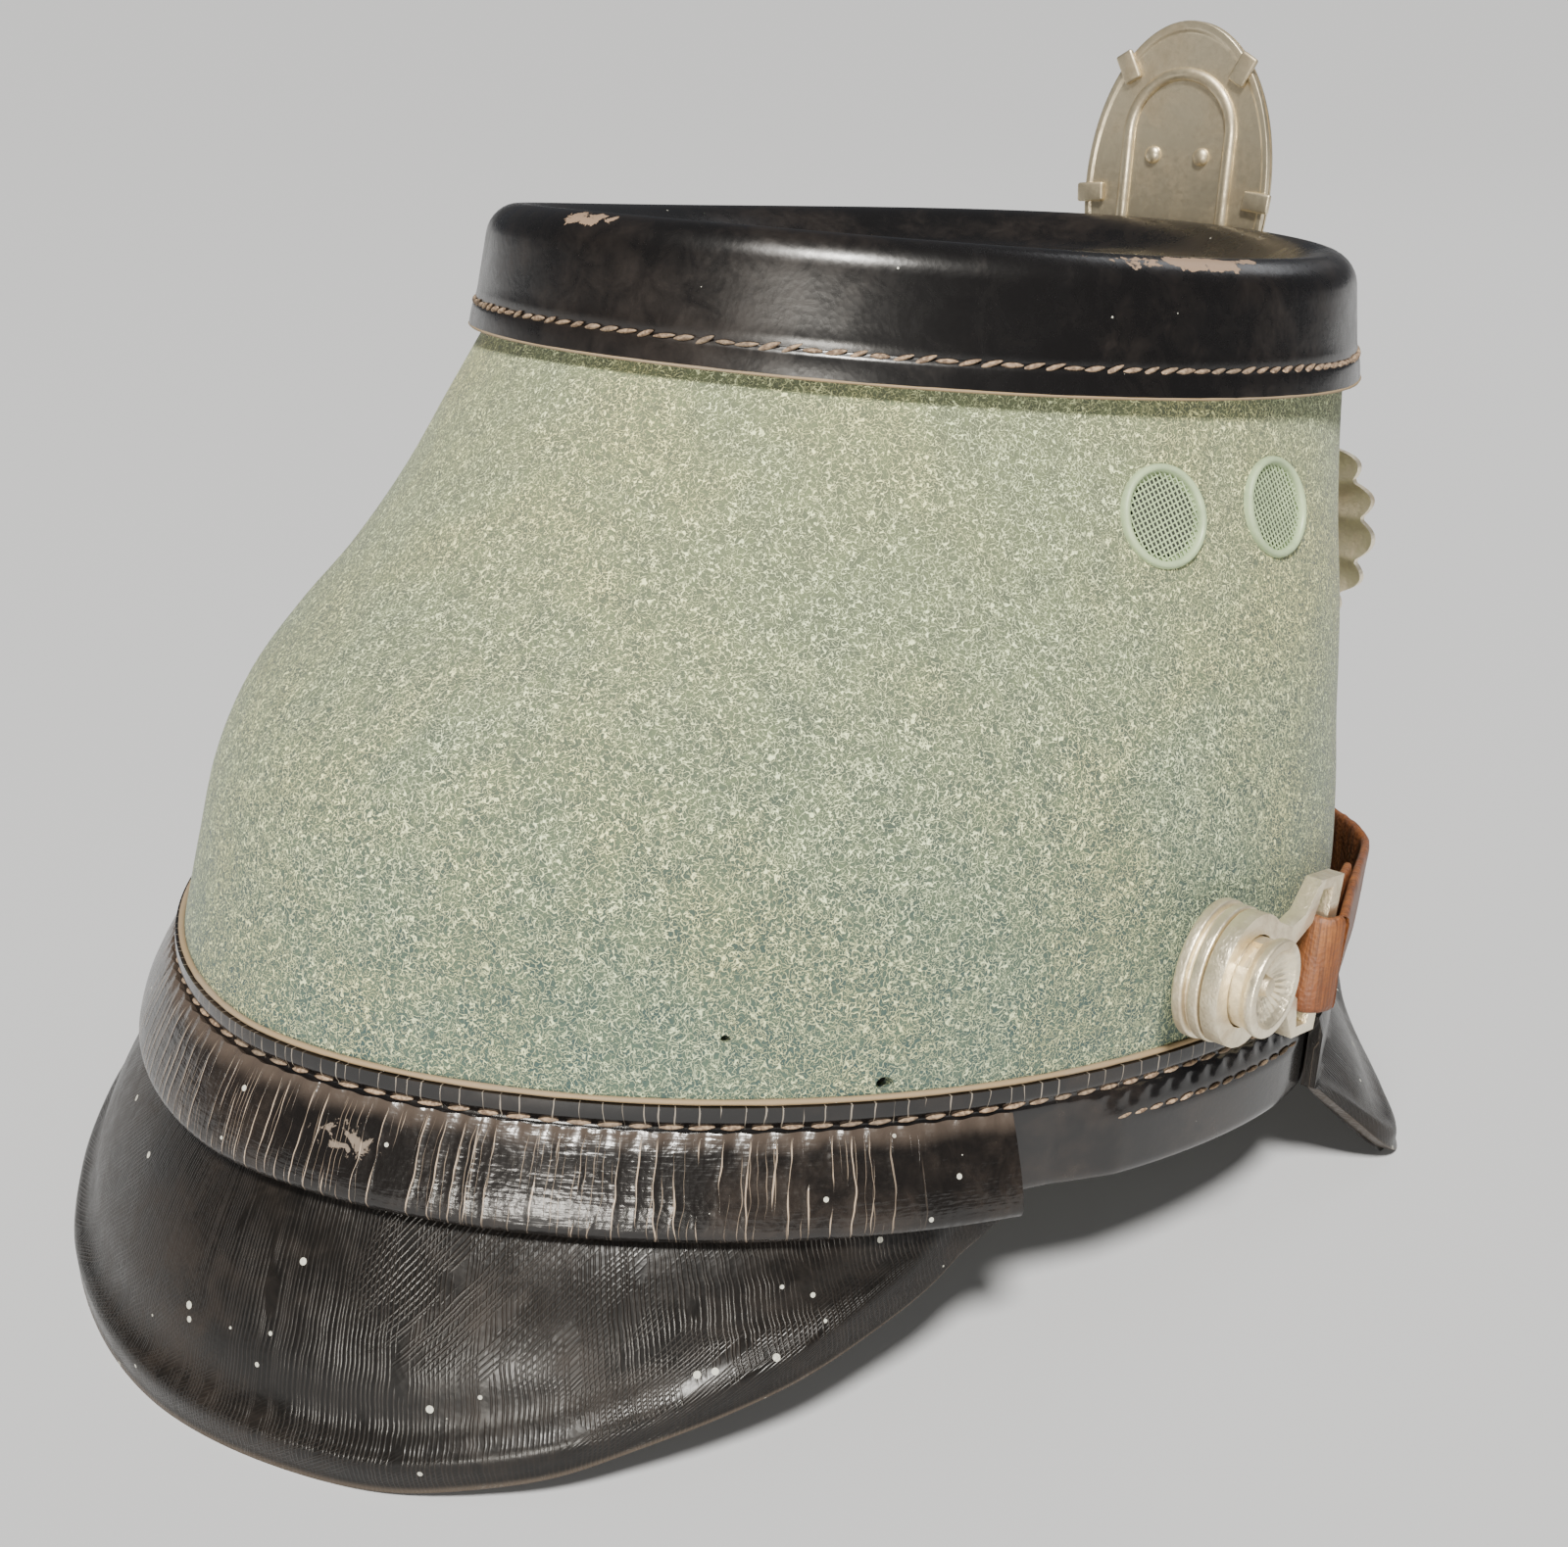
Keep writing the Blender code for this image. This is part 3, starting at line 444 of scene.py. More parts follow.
def mix_colour(share, first, second):
    """Mixes two colours by a share; sockets 0, 6 and 7 are the share and the two colours."""
    return node(tree_of(share, first, second), "ShaderNodeMix", {0: share, 6: first, 7: second},
                data_type="RGBA").outputs[2]


def rough_noise(place, scale, detail=2.0, roughness=0.5, distortion=0.0):
    return node(tree_of(place), "ShaderNodeTexNoise",
                {"Vector": place, "Scale": scale, "Detail": detail, "Roughness": roughness,
                 "Distortion": distortion}).outputs["Fac"]


def spots(place, scale, feature="F1"):
    return node(tree_of(place), "ShaderNodeTexVoronoi", {"Vector": place, "Scale": scale}, feature=feature)


def mapped(place, scale=(1, 1, 1), rotation=(0, 0, 0), location=(0, 0, 0)):
    return node(tree_of(place), "ShaderNodeMapping", {"Vector": place, "Scale": scale, "Rotation": rotation,
                                                      "Location": location}).outputs["Vector"]


def parts_of(place):
    """The three numbers of a place or of a flat map."""
    return node(tree_of(place), "ShaderNodeSeparateXYZ", {0: place}).outputs


def near(value, middle, reach):
    """1 at middle, falling to 0 at reach from it."""
    return between(calc("ABSOLUTE", minus(value, middle)), 0.0, reach, 1.0, 0.0)


print("places for nodes:", ", ".join(helper.__name__ for helper in (mapped, parts_of, near)))

# %% [markdown]
# A node group is a box of nodes with named sockets. A material keeps its own shader and places such a
# box beside it, so one change in the box reaches every finish that uses it.

# %% Start a group or a finish
def new_group(name, inputs, outputs):
    """A node group with named sockets; each row is a name, a kind and, for inputs, a value."""
    group = bpy.data.node_groups.new(name, "ShaderNodeTree")
    for label, kind, value in inputs:
        socket = group.interface.new_socket(name=label, in_out="INPUT", socket_type=kind)
        if value is not None:
            socket.default_value = value
    for label, kind in outputs:
        group.interface.new_socket(name=label, in_out="OUTPUT", socket_type=kind)
    start = group.nodes.new("NodeGroupInput")
    end = group.nodes.new("NodeGroupOutput")
    return group, start, end


def give_out(group, end, **values):
    """Links a group's results to its sockets and says what the group is."""
    for label, value in values.items():
        group.links.new(value, end.inputs[label])
    print("group:", group.name, "gives", ", ".join(values))


def new_look(name, roughness=0.5, metallic=0.0, **plain):
    """A material with its shader; plain values go straight on the shader."""
    look = bpy.data.materials.new(name)
    look.use_nodes = True
    shader = look.node_tree.nodes["Principled BSDF"]
    shader.inputs["Roughness"].default_value = roughness
    shader.inputs["Metallic"].default_value = metallic
    for key, value in plain.items():
        shader.inputs[key.replace("_", " ")].default_value = value
    print("finish:", name)
    return look, look.node_tree, shader


FLOAT, COLOUR, VECTOR = "NodeSocketFloat", "NodeSocketColor", "NodeSocketVector"
print("kinds of socket:", FLOAT, COLOUR, VECTOR)

# %% [markdown]
# Lacquered leather ages in the same way everywhere: it turns brown where it is rubbed, its skin chips
# off to the tan fibre below, pale dust sits in small dots, and a fine grain breaks up the gloss. The
# group mixes these four, and each leather asks for its own share of them.

# %% Group: worn leather
leather_group, start, end = new_group("worn leather", [
    ("Place", VECTOR, None), ("Skin", COLOUR, (0.02, 0.018, 0.016, 1)),
    ("Rubbed", COLOUR, (0.12, 0.09, 0.07, 1)), ("Fibre", COLOUR, (0.45, 0.34, 0.24, 1)),
    ("Rubbing", FLOAT, 0.3), ("Chips", FLOAT, 0.0), ("Dust", FLOAT, 0.5), ("Grain size", FLOAT, 900.0),
    ("Gloss", FLOAT, 0.3)], [("Colour", COLOUR), ("Roughness", FLOAT), ("Height", FLOAT)])
where = start.outputs["Place"]
cloudy = rough_noise(where, 38.0, 5.0, 0.62, 0.3)
streaks = rough_noise(where, 210.0, 4.0, 0.7, 0.6)
rubbed = between(plus(cloudy, times(streaks, 0.5)), 0.66, 1.05)
rubbed = times(rubbed, start.outputs["Rubbing"], True)
flake = rough_noise(where, 330.0, 6.0, 0.66, 0.5)
chip_edge = minus(1.0, times(start.outputs["Chips"], 0.62))
chipped = between(minus(flake, chip_edge), 0.0, 0.02)
dots = spots(where, 200.0)
dot_edge = rough_noise(where, 90.0, 1.0)
dot_size = times(between(dot_edge, 0.38, 0.56, 0.0, 0.12), start.outputs["Dust"])
dotted = calc("LESS_THAN", dots.outputs["Distance"], dot_size)
grain = spots(where, start.outputs["Grain size"])
colour = mix_colour(rubbed, start.outputs["Skin"], start.outputs["Rubbed"])
colour = mix_colour(times(dotted, 0.75), colour, (0.62, 0.62, 0.54, 1))
colour = mix_colour(chipped, colour, start.outputs["Fibre"])
gloss = plus(start.outputs["Gloss"], times(rubbed, 0.22))
gloss = plus(gloss, times(minus(streaks, 0.5), 0.16))
gloss = plus(gloss, times(plus(chipped, dotted), 0.4), True)
height = plus(times(grain.outputs["Distance"], 0.25), times(streaks, 0.5))
height = minus(height, times(chipped, 1.4))
give_out(leather_group, end, Colour=colour, Roughness=gloss, Height=height)

# %% [markdown]
# Lacquer on bent leather cracks across the bend. The cracks lie at uneven steps along the band, wander a
# little and break off. The sheet's flat map gives both directions, so one noise can place them along
# the band and another can cut them short.

# %% Group: cracks across a band
crack_group, start, end = new_group("cracks", [
    ("Map", VECTOR, None), ("Per metre", FLOAT, 280.0), ("Width", FLOAT, 0.06), ("Broken", FLOAT, 0.45),
    ("Wander", FLOAT, 0.0022)], [("Mask", FLOAT), ("Soft", FLOAT)])
here = start.outputs["Map"]
parts = parts_of(here)
bend = rough_noise(mapped(here, (55, 110, 1)), 1.0, 2.0)
along = plus(parts["X"], times(minus(bend, 0.5), start.outputs["Wander"]))
cells = node(crack_group, "ShaderNodeTexVoronoi",
             {"W": times(along, start.outputs["Per metre"]), "Scale": 1.0}, voronoi_dimensions="1D",
             feature="DISTANCE_TO_EDGE").outputs["Distance"]
cut_short = rough_noise(mapped(here, (260, 70, 1)), 1.0, 1.0)
alive = between(cut_short, minus(start.outputs["Broken"], 0.04), plus(start.outputs["Broken"], 0.04))
thin = between(rough_noise(mapped(here, (420, 190, 1)), 1.0, 1.0), 0.30, 0.66, 0.1, 1.0)
width = times(times(start.outputs["Width"], alive), thin)
mask = between(minus(cells, width), 0.0, 0.016, 1.0, 0.0)
mask = times(mask, alive)
soft = between(cells, 0.0, 0.3, 1.0, 0.0)
give_out(crack_group, end, Mask=mask, Soft=times(soft, alive))


def cracked(place, per_metre, width, broken, **more):
    """Places the crack group; per_metre cracks cross each metre of the flat map."""
    return node(tree_of(place), "ShaderNodeGroup", {"Map": place, "Per metre": per_metre, "Width": width,
                                                    "Broken": broken, **more},
                node_tree=crack_group).outputs


print("cracks are placed by", cracked.__name__)

# %% [markdown]
# Old alloy and plated brass are never even: they darken in clouds, take fine scratches and lose their
# shine where fingers touch them.

# %% Group: worn metal
metal_group, start, end = new_group("worn metal", [
    ("Place", VECTOR, None), ("Bright", COLOUR, (0.8, 0.78, 0.74, 1)),
    ("Dull", COLOUR, (0.4, 0.38, 0.34, 1)), ("Dulling", FLOAT, 0.4), ("Gloss", FLOAT, 0.35)],
    [("Colour", COLOUR), ("Roughness", FLOAT), ("Height", FLOAT)])
where = start.outputs["Place"]
cloud = rough_noise(where, 130.0, 5.0, 0.65, 0.4)
fine = rough_noise(where, 900.0, 4.0, 0.7)
scratch = rough_noise(mapped(where, (1.0, 0.06, 1.0)), 2600.0, 2.0, 0.6)
dulled = times(between(cloud, 0.38, 0.72), start.outputs["Dulling"], True)
colour = mix_colour(dulled, start.outputs["Bright"], start.outputs["Dull"])
colour = mix_colour(between(fine, 0.62, 0.78, 0.0, 0.5), colour, start.outputs["Dull"])
gloss = plus(start.outputs["Gloss"], times(dulled, 0.3))
gloss = plus(gloss, times(minus(fine, 0.5), 0.25), True)
height = plus(times(fine, 0.5), times(scratch, 0.35))
give_out(metal_group, end, Colour=colour, Roughness=gloss, Height=height)

# %% [markdown]
# A finish is a group fed by the piece's own coordinates, and its height becomes a bump in the shader. A
# bump is used for relief finer than the sheets' faces, because it costs no faces.

# %% Put a group into a material
def use_group(look_tree, shader, group, values, bump, distance):
    """Places a group, feeds the shader from it and turns its height into a bump."""
    placed = node(look_tree, "ShaderNodeGroup", node_tree=group)
    for key, value in values.items():
        if isinstance(value, bpy.types.NodeSocket):
            look_tree.links.new(value, placed.inputs[key])
        else:
            placed.inputs[key].default_value = value
    look_tree.links.new(placed.outputs["Colour"], shader.inputs["Base Color"])
    look_tree.links.new(placed.outputs["Roughness"], shader.inputs["Roughness"])
    relief = node(look_tree, "ShaderNodeBump", {"Height": placed.outputs["Height"], "Strength": bump,
                                                "Distance": distance})
    look_tree.links.new(relief.outputs["Normal"], shader.inputs["Normal"])
    return placed, relief


def object_place(look_tree):
    return look_tree.nodes.new("ShaderNodeTexCoord").outputs["Object"]


def flat_map(look_tree):
    return look_tree.nodes.new("ShaderNodeTexCoord").outputs["UV"]


print("groups to place:", len(bpy.data.node_groups))

# %% [markdown]
# The felt is a dense cloth of short curled wool: pale cream-green strands of about a millimetre lie over
# a blue-grey ground. The middle line of a fine, bent noise makes a good curl, and two sizes of it are
# laid over each other. Up the hat the felt is painted a little yellower and lighter, as warm light from
# above; near its foot it is a little bluer, greyer and darker, partly dirt and partly painted shade.

# %% Finish: felt
felt_look, tree, shader = new_look("felt", roughness=0.95, Sheen_Weight=0.12, Sheen_Roughness=0.5)
here = object_place(tree)
up = parts_of(here)["Z"]
clouds = rough_noise(here, 26.0, 4.0, 0.6, 0.4)
mottle = rough_noise(here, 340.0, 3.0, 0.6, 0.6)


def curls(scale, shift):
    """Short curled strands, along the middle line of a fine bent noise."""
    bent = rough_noise(mapped(here, location=shift), scale, 0.4, 0.5, 0.7)
    return between(calc("ABSOLUTE", minus(bent, 0.5)), 0.010, 0.058, 1.0, 0.0)


strands = calc("MAXIMUM", curls(1250.0, (0, 0, 0)), times(curls(1700.0, (3.1, 1.7, 0.4)), 0.5))
ground = mix_colour(between(mottle, 0.3, 0.7), (0.016, 0.034, 0.030, 1), (0.070, 0.100, 0.052, 1))
pale = mix_colour(between(clouds, 0.35, 0.7), (0.80, 0.92, 0.54, 1), (0.92, 0.91, 0.42, 1))
colour = mix_colour(times(strands, 0.95), ground, pale)
# Painted light and shade: high makes the felt yellower and lighter up the hat, as painted warm light from
# above; low darkens and blues it near the foot, partly dirt and partly painted shade.
high = between(up, 0.045, 0.13)
low = between(up, 0.040, 0.085, 0.26, 0.0)
colour = mix_colour(low, colour, (0.06, 0.10, 0.09, 1))
colour = mix_colour(0.16, colour, mix_colour(high, (0.06, 0.12, 0.13, 1), (0.56, 0.58, 0.30, 1)))
tree.links.new(colour, shader.inputs["Base Color"])
nap = plus(strands, times(mottle, 0.8))
relief = node(tree, "ShaderNodeBump", {"Height": nap, "Strength": 0.8, "Distance": 0.0005})
tree.links.new(relief.outputs["Normal"], shader.inputs["Normal"])

# %% [markdown]
# Where felt and leather are cut, their inside shows as a tan, dusty line. It is the leather group with
# tan in place of the black skin, because both are rubbed fibre there.

# %% Finish: raw edges of felt and leather
edge_look, tree, shader = new_look("raw_edge", roughness=0.8)
use_group(tree, shader, leather_group, {"Place": object_place(tree), "Skin": (0.25, 0.18, 0.10, 1),
                                        "Rubbed": (0.24, 0.19, 0.13, 1), "Rubbing": 0.9, "Dust": 0.1,
                                        "Grain size": 1400.0, "Gloss": 0.7}, 0.5, 0.0002)

# %% [markdown]
# The crown is black and half glossy, like lacquer over smooth calf. Its rim has knocked against things:
# there the lacquer has chipped to brown fibre. The flat map says where: x runs round the hat, in parts
# of a turn, and y runs up the side, so a chip can be asked for at one place on the rim.

# %% Finish: crown leather
crown_look, tree, shader = new_look("crown_leather", roughness=0.3, Coat_Weight=0.15, Coat_Roughness=0.25)
here, flat = object_place(tree), flat_map(tree)
flat_parts = parts_of(flat)
around, rise = flat_parts["X"], flat_parts["Y"]
RIM_RISE = 0.455
rim_line = near(rise, RIM_RISE, 0.10)
rim_places = plus(near(around, 0.055, 0.055), near(around, 0.255, 0.03), True)
rim_places = plus(times(rim_places, 0.72), times(rough_noise(flat, 24.0, 2.0), 0.74))
chips = times(rim_line, rim_places, True)
placed, relief = use_group(tree, shader, leather_group, {
    "Place": here, "Skin": (0.0045, 0.004, 0.004, 1), "Rubbed": (0.026, 0.019, 0.015, 1),
    "Fibre": (0.22, 0.15, 0.10, 1), "Rubbing": 0.5, "Chips": chips, "Dust": 0.28, "Grain size": 1100.0,
    "Gloss": 0.27}, 0.35, 0.00015)

# %% [markdown]
# The rear band's lacquer is cracked from edge to edge and rubbed brown where the seam puckers it. One
# scuff lies under the seam. Two sets of cracks, coarse and fine, are laid over the worn leather, because
# the real ones come in two widths. SCUFF_PLACE is the scuff's middle along the band, in metres.

# %% Finish: band leather, with its cracks
SCUFF_PLACE = 0.083
band_look, tree, shader = new_look("band_leather", roughness=0.3, Coat_Weight=0.1, Coat_Roughness=0.2)
here, flat = object_place(tree), flat_map(tree)
along, fall = parts_of(flat)[:2]
scuff = times(near(along, SCUFF_PLACE, 0.015), near(fall, 0.0055, 0.0048))
scuff = plus(0.18, times(scuff, 0.75))
placed, relief = use_group(tree, shader, leather_group, {
    "Place": here, "Skin": (0.006, 0.005, 0.0045, 1), "Rubbed": (0.085, 0.062, 0.048, 1),
    "Fibre": (0.13, 0.10, 0.075, 1), "Rubbing": 0.25, "Chips": scuff, "Dust": 0.7, "Grain size": 1200.0,
    "Gloss": 0.24}, 0.55, 0.0003)
lines = cracked(flat, 400.0, 0.036, 0.43)
fine_lines = cracked(mapped(flat, location=(3.0, 1.0, 0.0)), 900.0, 0.05, 0.52)
inner = times(between(fall, 0.0004, 0.0020), between(fall, 0.0110, 0.0140, 1.0, 0.0))
inner = times(inner, between(along, 0.010, 0.022))
shown = calc("MAXIMUM", lines["Mask"], times(fine_lines["Mask"], 0.45))
shown = times(shown, inner)
ragged = plus(fall, times(rough_noise(here, 160.0, 3.0), -0.0030))
pucker = between(ragged, -0.0012, 0.0014, 1.0, 0.0)
base = mix_colour(times(pucker, 0.45), placed.outputs["Colour"], (0.115, 0.088, 0.070, 1))
base = mix_colour(times(shown, 0.9), base, (0.36, 0.28, 0.21, 1))
tree.links.new(base, shader.inputs["Base Color"])
height = minus(placed.outputs["Height"], times(shown, 1.5))
height = plus(height, times(lines["Soft"], 0.35))
crease = rough_noise(mapped(flat, (160, 1100, 1)), 1.0, 2.0, 0.6)
height = plus(height, times(crease, 0.7))
tree.links.new(height, relief.inputs["Height"])

# %% [markdown]
# The strip round the foot and its side skirts kept more of their lacquer: they are smoother and
# glossier, with short cracks only above the seam.

# %% Finish: the strip and the skirts
strip_look, tree, shader = new_look("strip_leather", roughness=0.22, Coat_Weight=0.3, Coat_Roughness=0.1)
here, flat = object_place(tree), flat_map(tree)
placed, relief = use_group(tree, shader, leather_group, {
    "Place": here, "Skin": (0.005, 0.0045, 0.0045, 1), "Rubbed": (0.05, 0.036, 0.028, 1),
    "Fibre": (0.36, 0.28, 0.2, 1), "Rubbing": 0.35, "Chips": 0.2, "Dust": 0.2, "Grain size": 1300.0,
    "Gloss": 0.2}, 0.3, 0.00015)
lines = cracked(flat, 420.0, 0.030, 0.42)
fall = parts_of(flat)["Y"]
shown = times(lines["Mask"], between(fall, 0.0028, 0.0034, 1.0, 0.0))
base = mix_colour(times(shown, 0.6), placed.outputs["Colour"], (0.36, 0.31, 0.25, 1))
tree.links.new(base, shader.inputs["Base Color"])
height = minus(placed.outputs["Height"], times(shown, 1.2))
tree.links.new(height, relief.inputs["Height"])

# %% [markdown]
# The peaks are thick, pressed leather. Their skin has a grain of fine lines that run down the flare, as
# if brushed, with a second set across them in the middle, and pale dots of dust. Stretched noise on the
# flat map gives both sets.

# %% Finish: peak leather
peak_look, tree, shader = new_look("peak_leather", roughness=0.36, Specular_IOR_Level=0.34)
here, flat = object_place(tree), flat_map(tree)
placed, relief = use_group(tree, shader, leather_group, {
    "Place": here, "Skin": (0.0045, 0.004, 0.0036, 1), "Rubbed": (0.022, 0.016, 0.012, 1),
    "Fibre": (0.36, 0.29, 0.2, 1), "Rubbing": 0.6, "Chips": 0.0, "Dust": 1.0, "Grain size": 1000.0,
    "Gloss": 0.30}, 0.5, 0.0002)
fall = parts_of(flat)["Y"]
down_lines = cracked(flat, 1500.0, 0.10, 0.36, Wander=0.0012)["Soft"]
cross_lines = cracked(mapped(flat, rotation=(0, 0, 0.75)), 1300.0, 0.10, 0.40, Wander=0.0010)["Soft"]
cross_place = between(rough_noise(flat, 22.0, 1.0), 0.40, 0.56)
line_depth = between(rough_noise(flat, 60.0, 2.0), 0.32, 0.62, 0.3, 1.0)
lines = calc("MAXIMUM", times(down_lines, line_depth), times(cross_lines, cross_place))
# A lighter brown stripe along the rim's edge: partly wear of the edge, partly a painted highlight.
rim_wear_and_highlight = times(between(fall, 0.0485, 0.0515), between(fall, 0.0540, 0.0560, 1.0, 0.0))
base = mix_colour(times(lines, 0.25), placed.outputs["Colour"], (0.036, 0.027, 0.021, 1))
base = mix_colour(times(rim_wear_and_highlight, 0.55), base, (0.085, 0.066, 0.050, 1))
tree.links.new(base, shader.inputs["Base Color"])
tree.links.new(plus(placed.outputs["Height"], times(lines, 0.6)), relief.inputs["Height"])

# %% [markdown]
# The seams are sewn with waxed linen. Its twist shows as light and dark specks along each stitch, and
# age has browned it in places, so one fine and one wide noise colour it.

# %% Finish: thread
thread_look, tree, shader = new_look("thread", roughness=0.75)
here = object_place(tree)
twist = rough_noise(here, 1500.0, 3.0, 0.6)
age = rough_noise(here, 60.0, 3.0, 0.6)
colour = mix_colour(between(twist, 0.35, 0.65), (0.11, 0.07, 0.045, 1), (0.34, 0.24, 0.155, 1))
colour = mix_colour(between(age, 0.45, 0.7, 0.0, 0.7), colour, (0.10, 0.08, 0.06, 1))
tree.links.new(colour, shader.inputs["Base Color"])
relief = node(tree, "ShaderNodeBump", {"Height": twist, "Strength": 0.6, "Distance": 0.0002})
tree.links.new(relief.outputs["Normal"], shader.inputs["Normal"])

# %% [markdown]
# The lugs and the badge are a pale, slightly warm alloy, the cockade is dull silver over brass, and the
# vents carry the felt's green as paint. The discs behind the vents' wires are a near-black painted shade
# of the hollow behind them. All four wear alike, so one row of values makes each of them.

# %% Finish: alloy, aged silver, green paint, and the painted shade behind the gauze
def metal_look(name, roughness, metallic, bright, dull, dulling, gloss, bump, distance):
    """A finish from the worn metal group, with its bright and its dull colour."""
    look, tree, shader = new_look(name, roughness=roughness, metallic=metallic)
    use_group(tree, shader, metal_group, {"Place": object_place(tree), "Bright": (*bright, 1),
                                          "Dull": (*dull, 1), "Dulling": dulling, "Gloss": gloss},
              bump, distance)
    return look


alloy_look = metal_look("alloy", 0.38, 0.92, (0.98, 0.88, 0.66), (0.46, 0.37, 0.24), 0.75, 0.34,
                        0.7, 0.0003)
silver_look = metal_look("aged_silver", 0.4, 0.9, (0.78, 0.68, 0.48), (0.33, 0.27, 0.18), 0.75, 0.34,
                         0.3, 0.0001)
green_look = metal_look("green_paint", 0.42, 0.0, (0.38, 0.48, 0.28), (0.22, 0.29, 0.17), 0.7, 0.36,
                        0.3, 0.0001)
# A near-black finish for the frame's gauze discs behind the wires: painted shade of the hollow behind them.
hole_shade_look = metal_look("painted_hole_shade", 0.9, 0.0, (0.020, 0.024, 0.020), (0.05, 0.055, 0.045), 0.7, 0.8,
                        0.3, 0.0001)

# %% [markdown]
# The strap was never lacquered: it is dry brown leather, with darker fibres that run along it. They are
# one noise, stretched along the strap's flat map.

# %% Finish: strap leather
strap_look, tree, shader = new_look("strap_leather", roughness=0.62)
here, flat = object_place(tree), flat_map(tree)
placed, relief = use_group(tree, shader, leather_group, {
    "Place": here, "Skin": (0.15, 0.046, 0.014, 1), "Rubbed": (0.28, 0.108, 0.028, 1),
    "Fibre": (0.56, 0.30, 0.12, 1), "Rubbing": 0.8, "Chips": 0.3, "Dust": 0.0, "Grain size": 1500.0,
    "Gloss": 0.5}, 0.9, 0.0004)
fibres = rough_noise(mapped(flat, (1100, 110, 1)), 1.0, 3.0, 0.6)
base = mix_colour(between(fibres, 0.42, 0.66, 0.0, 0.85), placed.outputs["Colour"],
                  (0.075, 0.028, 0.012, 1))
tree.links.new(base, shader.inputs["Base Color"])
print("finishes:", len([look for look in bpy.data.materials if look.users]))

# %% [markdown]
# ## The felt body
#
# A real shako body is one piece of felt, steamed and pressed over a block. It is laid here as one closed
# sheet with even cells and gets the felt's thickness inwards. Four round seats are cut for the vents,
# because the rims sit in the felt and not on it, and two pin holes are cut right through. Each row of
# PIN_HOLES is a turn, a height and a radius.

# %% Lay the felt
BASE_DEPTH = 16.5 * MM
VENT_WIDTH, VENT_RIM, VENT_HEIGHT = 15.6 * MM, 2.0 * MM, 72 * MM
VENT_TURNS = (22.0, 6.0)
PIN_HOLES = [(49.8, 8.6 * MM, 0.7 * MM), (38.2, 1.9 * MM, 1.3 * MM)]


def frame_on_body(turn, z):
    """A matrix whose Z axis leaves the felt squarely at a place, with Y up."""
    place = on_body(turn, z)
    along = on_body(turn + 1, z) - on_body(turn - 1, z)
    up = on_body(turn, z + 2 * MM) - on_body(turn, z - 2 * MM)
    normal = along.cross(up).normalized()
    if normal.dot(outward(turn, z)) < 0:
        normal = -normal
    side = up.cross(normal).normalized()
    return aimed(side, normal.cross(side), normal, place)


FELT_TOP, FELT_FOOT = FELT_HEIGHT + 9 * MM, -12 * MM
FELT_AROUND, FELT_UP = 200, 56
rows = [[standing(360 * i / FELT_AROUND, mix(FELT_FOOT, FELT_TOP, k / FELT_UP)) for k in range(FELT_UP + 1)]
        for i in range(FELT_AROUND)]
felt_body = turned_out(laid("felt_body", rows, around=True))
finish_with(felt_body, "SOLIDIFY", thickness=SHELL_WALL, offset=-1)

cutters = []
for mirrored in (False, True):
    for turn in VENT_TURNS:
        pick()
        bpy.ops.mesh.primitive_cylinder_add(vertices=48, radius=VENT_WIDTH / 2 - 0.2 * MM, depth=30 * MM)
        cutter = bpy.context.object
        cutter.data.transform(STAND @ frame_on_body(180 - turn if mirrored else turn, VENT_HEIGHT))
        cutters.append(cutter)
for turn, height, size in PIN_HOLES:
    pick()
    bpy.ops.mesh.primitive_uv_sphere_add(segments=14, ring_count=8, radius=size)
    cutter = bpy.context.object
    cutter.data.transform(STAND @ frame_on_body(turn, height) @ Matrix.Diagonal((1, 0.8, 3.2, 1)))
    cutters.append(cutter)
cut_out(felt_body, joined("vent_cutter", cutters))
ready(felt_body, felt_look, ["shell"])

# %% [markdown]
# The felt ends in a raw edge that is a little swollen and rubbed to tan, and so does the leather of the
# crown. Both are thin rolls that follow the block's own oval.

# %% Raw edges
AROUND = 220


def roll_round(name, z, grow, radius, look):
    """A thin roll all round the hat."""
    rows = []
    for i in range(AROUND):
        turn = 360 * i / AROUND
        here, out = on_body(turn, z, grow), outward(turn, z)
        size = radius * (1 + 0.25 * wave_noise.noise(here * 400))
        rows.append([STAND @ (here + out * size * math.cos(a) + Vector((0, 0, size * 0.8 * math.sin(a))))
                     for a in [2 * math.pi * k / 8 for k in range(8)]])
    return ready(laid(name, rows, around=True, loop=True), look, sharp=180)


roll_round("felt_edge", 0.35 * MM, 0.4 * MM, 0.5 * MM, edge_look)

# %% [markdown]
# ## The crown
#
# The crown is a deep leather cap: a side wall with a sewn lower edge, a soft rim, and a top that sinks
# in like a dish. The profile is one line from the lower edge to the middle of the top, swept round the
# block. Slow waves of a tenth of a millimetre keep the gloss from looking machined.

# %% The crown's profile
RIM_ROUNDING, DISH_DEPTH, DISH_SLOPE = 4.6 * MM, 6.5 * MM, 15 * MM
LIP, LIP_HEIGHT = 0.5 * MM, 3.6 * MM
LIP_STEPS, WALL_STEPS, BEND_STEPS, DISH_STEPS = 6, 6, 8, 12
crown_grow = CROWN_WALL + GAP
rim_height = FELT_HEIGHT + CROWN_HEIGHT


